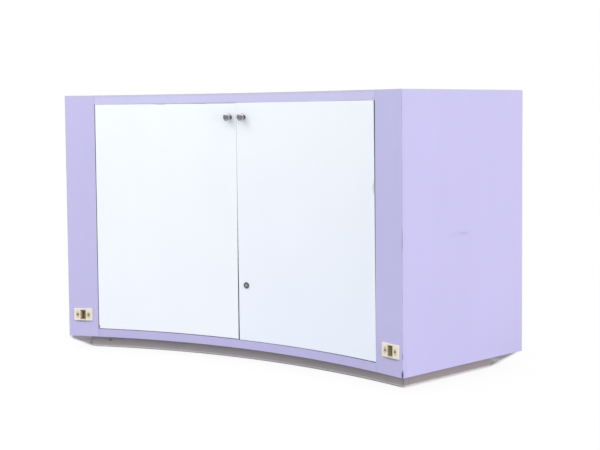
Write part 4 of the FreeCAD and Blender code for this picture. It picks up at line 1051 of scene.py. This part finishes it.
lit_share = combine(floor_tree, "SUBTRACT", 1.0, under_case)
floor_share = combine(floor_tree, "MULTIPLY", combine(floor_tree, "MULTIPLY", floor_seen, glow), lit_share)
floor_white = add(floor_tree, "Emission", {"Color": PURE_WHITE, "Strength": 1.0}).outputs[0]
floor_mix = add(floor_tree, "MixShader", {0: floor_share, 1: floor_shader.outputs[0], 2: floor_white})
fill(floor_tree, floor_tree.nodes["Material Output"], {"Surface": floor_mix.outputs[0]})
floor_bm = bmesh.new()
bmesh.ops.create_circle(floor_bm, cap_ends=True, segments=64, radius=FLOOR_RADIUS)
stand("floor", floor_bm, floor_paint)

# Dark card
# A curved grey card stands on the floor before the staff side. Only mirror surfaces see it: it gives the
# chrome a grey band under the bright sky.
CARD_REACH = 3.2
CARD_TOP = 2.15
CARD_INSIDE = 1.0
CARD_FLOOR = 0.01
CARD_START = math.radians(-200)
CARD_SWEEP = math.radians(220)
CARD_DARK = colour(108, 110, 119)
CARD_PALE = colour(164, 163, 164)
card_paint, card_tree, card_shader = new_finish("card_paint")
card_cloud = cloud(card_tree, scale=0.9, low=0.0, high=1.0)
card_tone = blend(card_tree, card_cloud, CARD_DARK, CARD_PALE)
fill(card_tree, card_shader, {"Base Color": card_tone, "Roughness": MATT})
card_bm = bmesh.new()
card_line = [card_bm.verts.new(corner) for corner in (
    (CARD_INSIDE, 0, CARD_FLOOR), (CARD_REACH, 0, CARD_FLOOR), (CARD_REACH, 0, CARD_TOP))]
card_sides = [card_bm.edges.new(pair) for pair in zip(card_line, card_line[1:])]
bmesh.ops.rotate(card_bm, cent=(0, 0, 0), matrix=Matrix.Rotation(CARD_START, 3, "Z"), verts=card_line)
bmesh.ops.spin(card_bm, geom=card_line + card_sides, cent=(0, 0, 0), axis=(0, 0, 1), angle=CARD_SWEEP,
               steps=24)
card = stand("grey_card", card_bm, card_paint)
card.visible_camera = False
card.visible_diffuse = False
card.visible_transmission = False
card.visible_shadow = False

# Studio light and background
# A pale sky gives an even light. A large soft lamp stands at the right front, one further right lifts the
# right end, and one over the staff side lifts the tops of the doors.
SKY_LEVEL = 1.22
SKY_TINT = (0.97, 0.98, 1.0, 1.0)
LAMP_AIM = Vector((0, 0, 0.5))
world = bpy.data.worlds.new("studio")
bpy.context.scene.world = world
world.use_nodes = True
sky_tree = world.node_tree
sky = sky_tree.nodes["Background"]
fill(sky_tree, sky, {"Color": SKY_TINT, "Strength": SKY_LEVEL})
backdrop = add(sky_tree, "Background", {"Color": PURE_WHITE, "Strength": 1.0}).outputs[0]
sky_mix = add(sky_tree, "MixShader", {0: seen_directly(sky_tree), 1: sky.outputs[0], 2: backdrop})
fill(sky_tree, sky_tree.nodes["World Output"], {"Surface": sky_mix.outputs[0]})
# Each lamp has a name, a place, a width, a power and a tint.
soft_lamps = (
    ("key_lamp", (2.4, -4.2, 3.2), 2.5, 14.0, (1.0, 1.0, 1.0)),
    ("side_lamp", (5.2, -1.9, 0.9), 2.0, 76.0, (1.0, 0.9, 0.93)),
    ("over_lamp", (-1.2, -2.2, 3.4), 2.0, 28.0, (1.0, 1.0, 1.0)),
)
for name, place, width, power, tint in soft_lamps:
    lamp = bpy.data.lights.new(name, "AREA")
    lamp.shape = "DISK"
    lamp.size = width
    lamp.energy = power
    lamp.color = tint
    holder = bpy.data.objects.new(name, lamp)
    holder.location = place
    holder.rotation_euler = (LAMP_AIM - Vector(place)).to_track_quat("-Z", "Y").to_euler()
    holder.visible_glossy = False
    bpy.context.scene.collection.objects.link(holder)
bpy.context.scene.view_settings.view_transform = "Standard"

# Camera
# The eye stands at the right front, just below the height of the case's top, and looks slightly down. The
# focal length and the middle of the lens are in pixels of the photograph's frame.
PHOTO_WIDTH = 600
PHOTO_HEIGHT = 450
FOCAL_PIXELS = 1057.0
MIDDLE_COLUMN = 300.5
MIDDLE_ROW = 170.96
SENSOR_WIDTH = 36.0
EYE = Vector((2.085754, -3.363542, 0.891795))
RIGHT = Vector((0.863742, 0.503855, -0.0089185))
UP = Vector((-0.0197196, 0.0514784, 0.9984794))
AHEAD = Vector((-0.503548, 0.862253, -0.0543999))
camera_lens = bpy.data.cameras.new("camera")
camera_lens.sensor_width = SENSOR_WIDTH
camera_lens.lens = FOCAL_PIXELS / PHOTO_WIDTH * SENSOR_WIDTH
camera_lens.shift_x = (PHOTO_WIDTH / 2 - MIDDLE_COLUMN) / PHOTO_WIDTH
camera_lens.shift_y = -(PHOTO_HEIGHT / 2 - MIDDLE_ROW) / PHOTO_WIDTH
camera = bpy.data.objects.new("camera", camera_lens)
camera.matrix_world = Matrix.Translation(EYE) @ Matrix((RIGHT, UP, -AHEAD)).transposed().to_4x4()
bpy.context.scene.collection.objects.link(camera)
bpy.context.scene.camera = camera

bpy.context.view_layer.update()
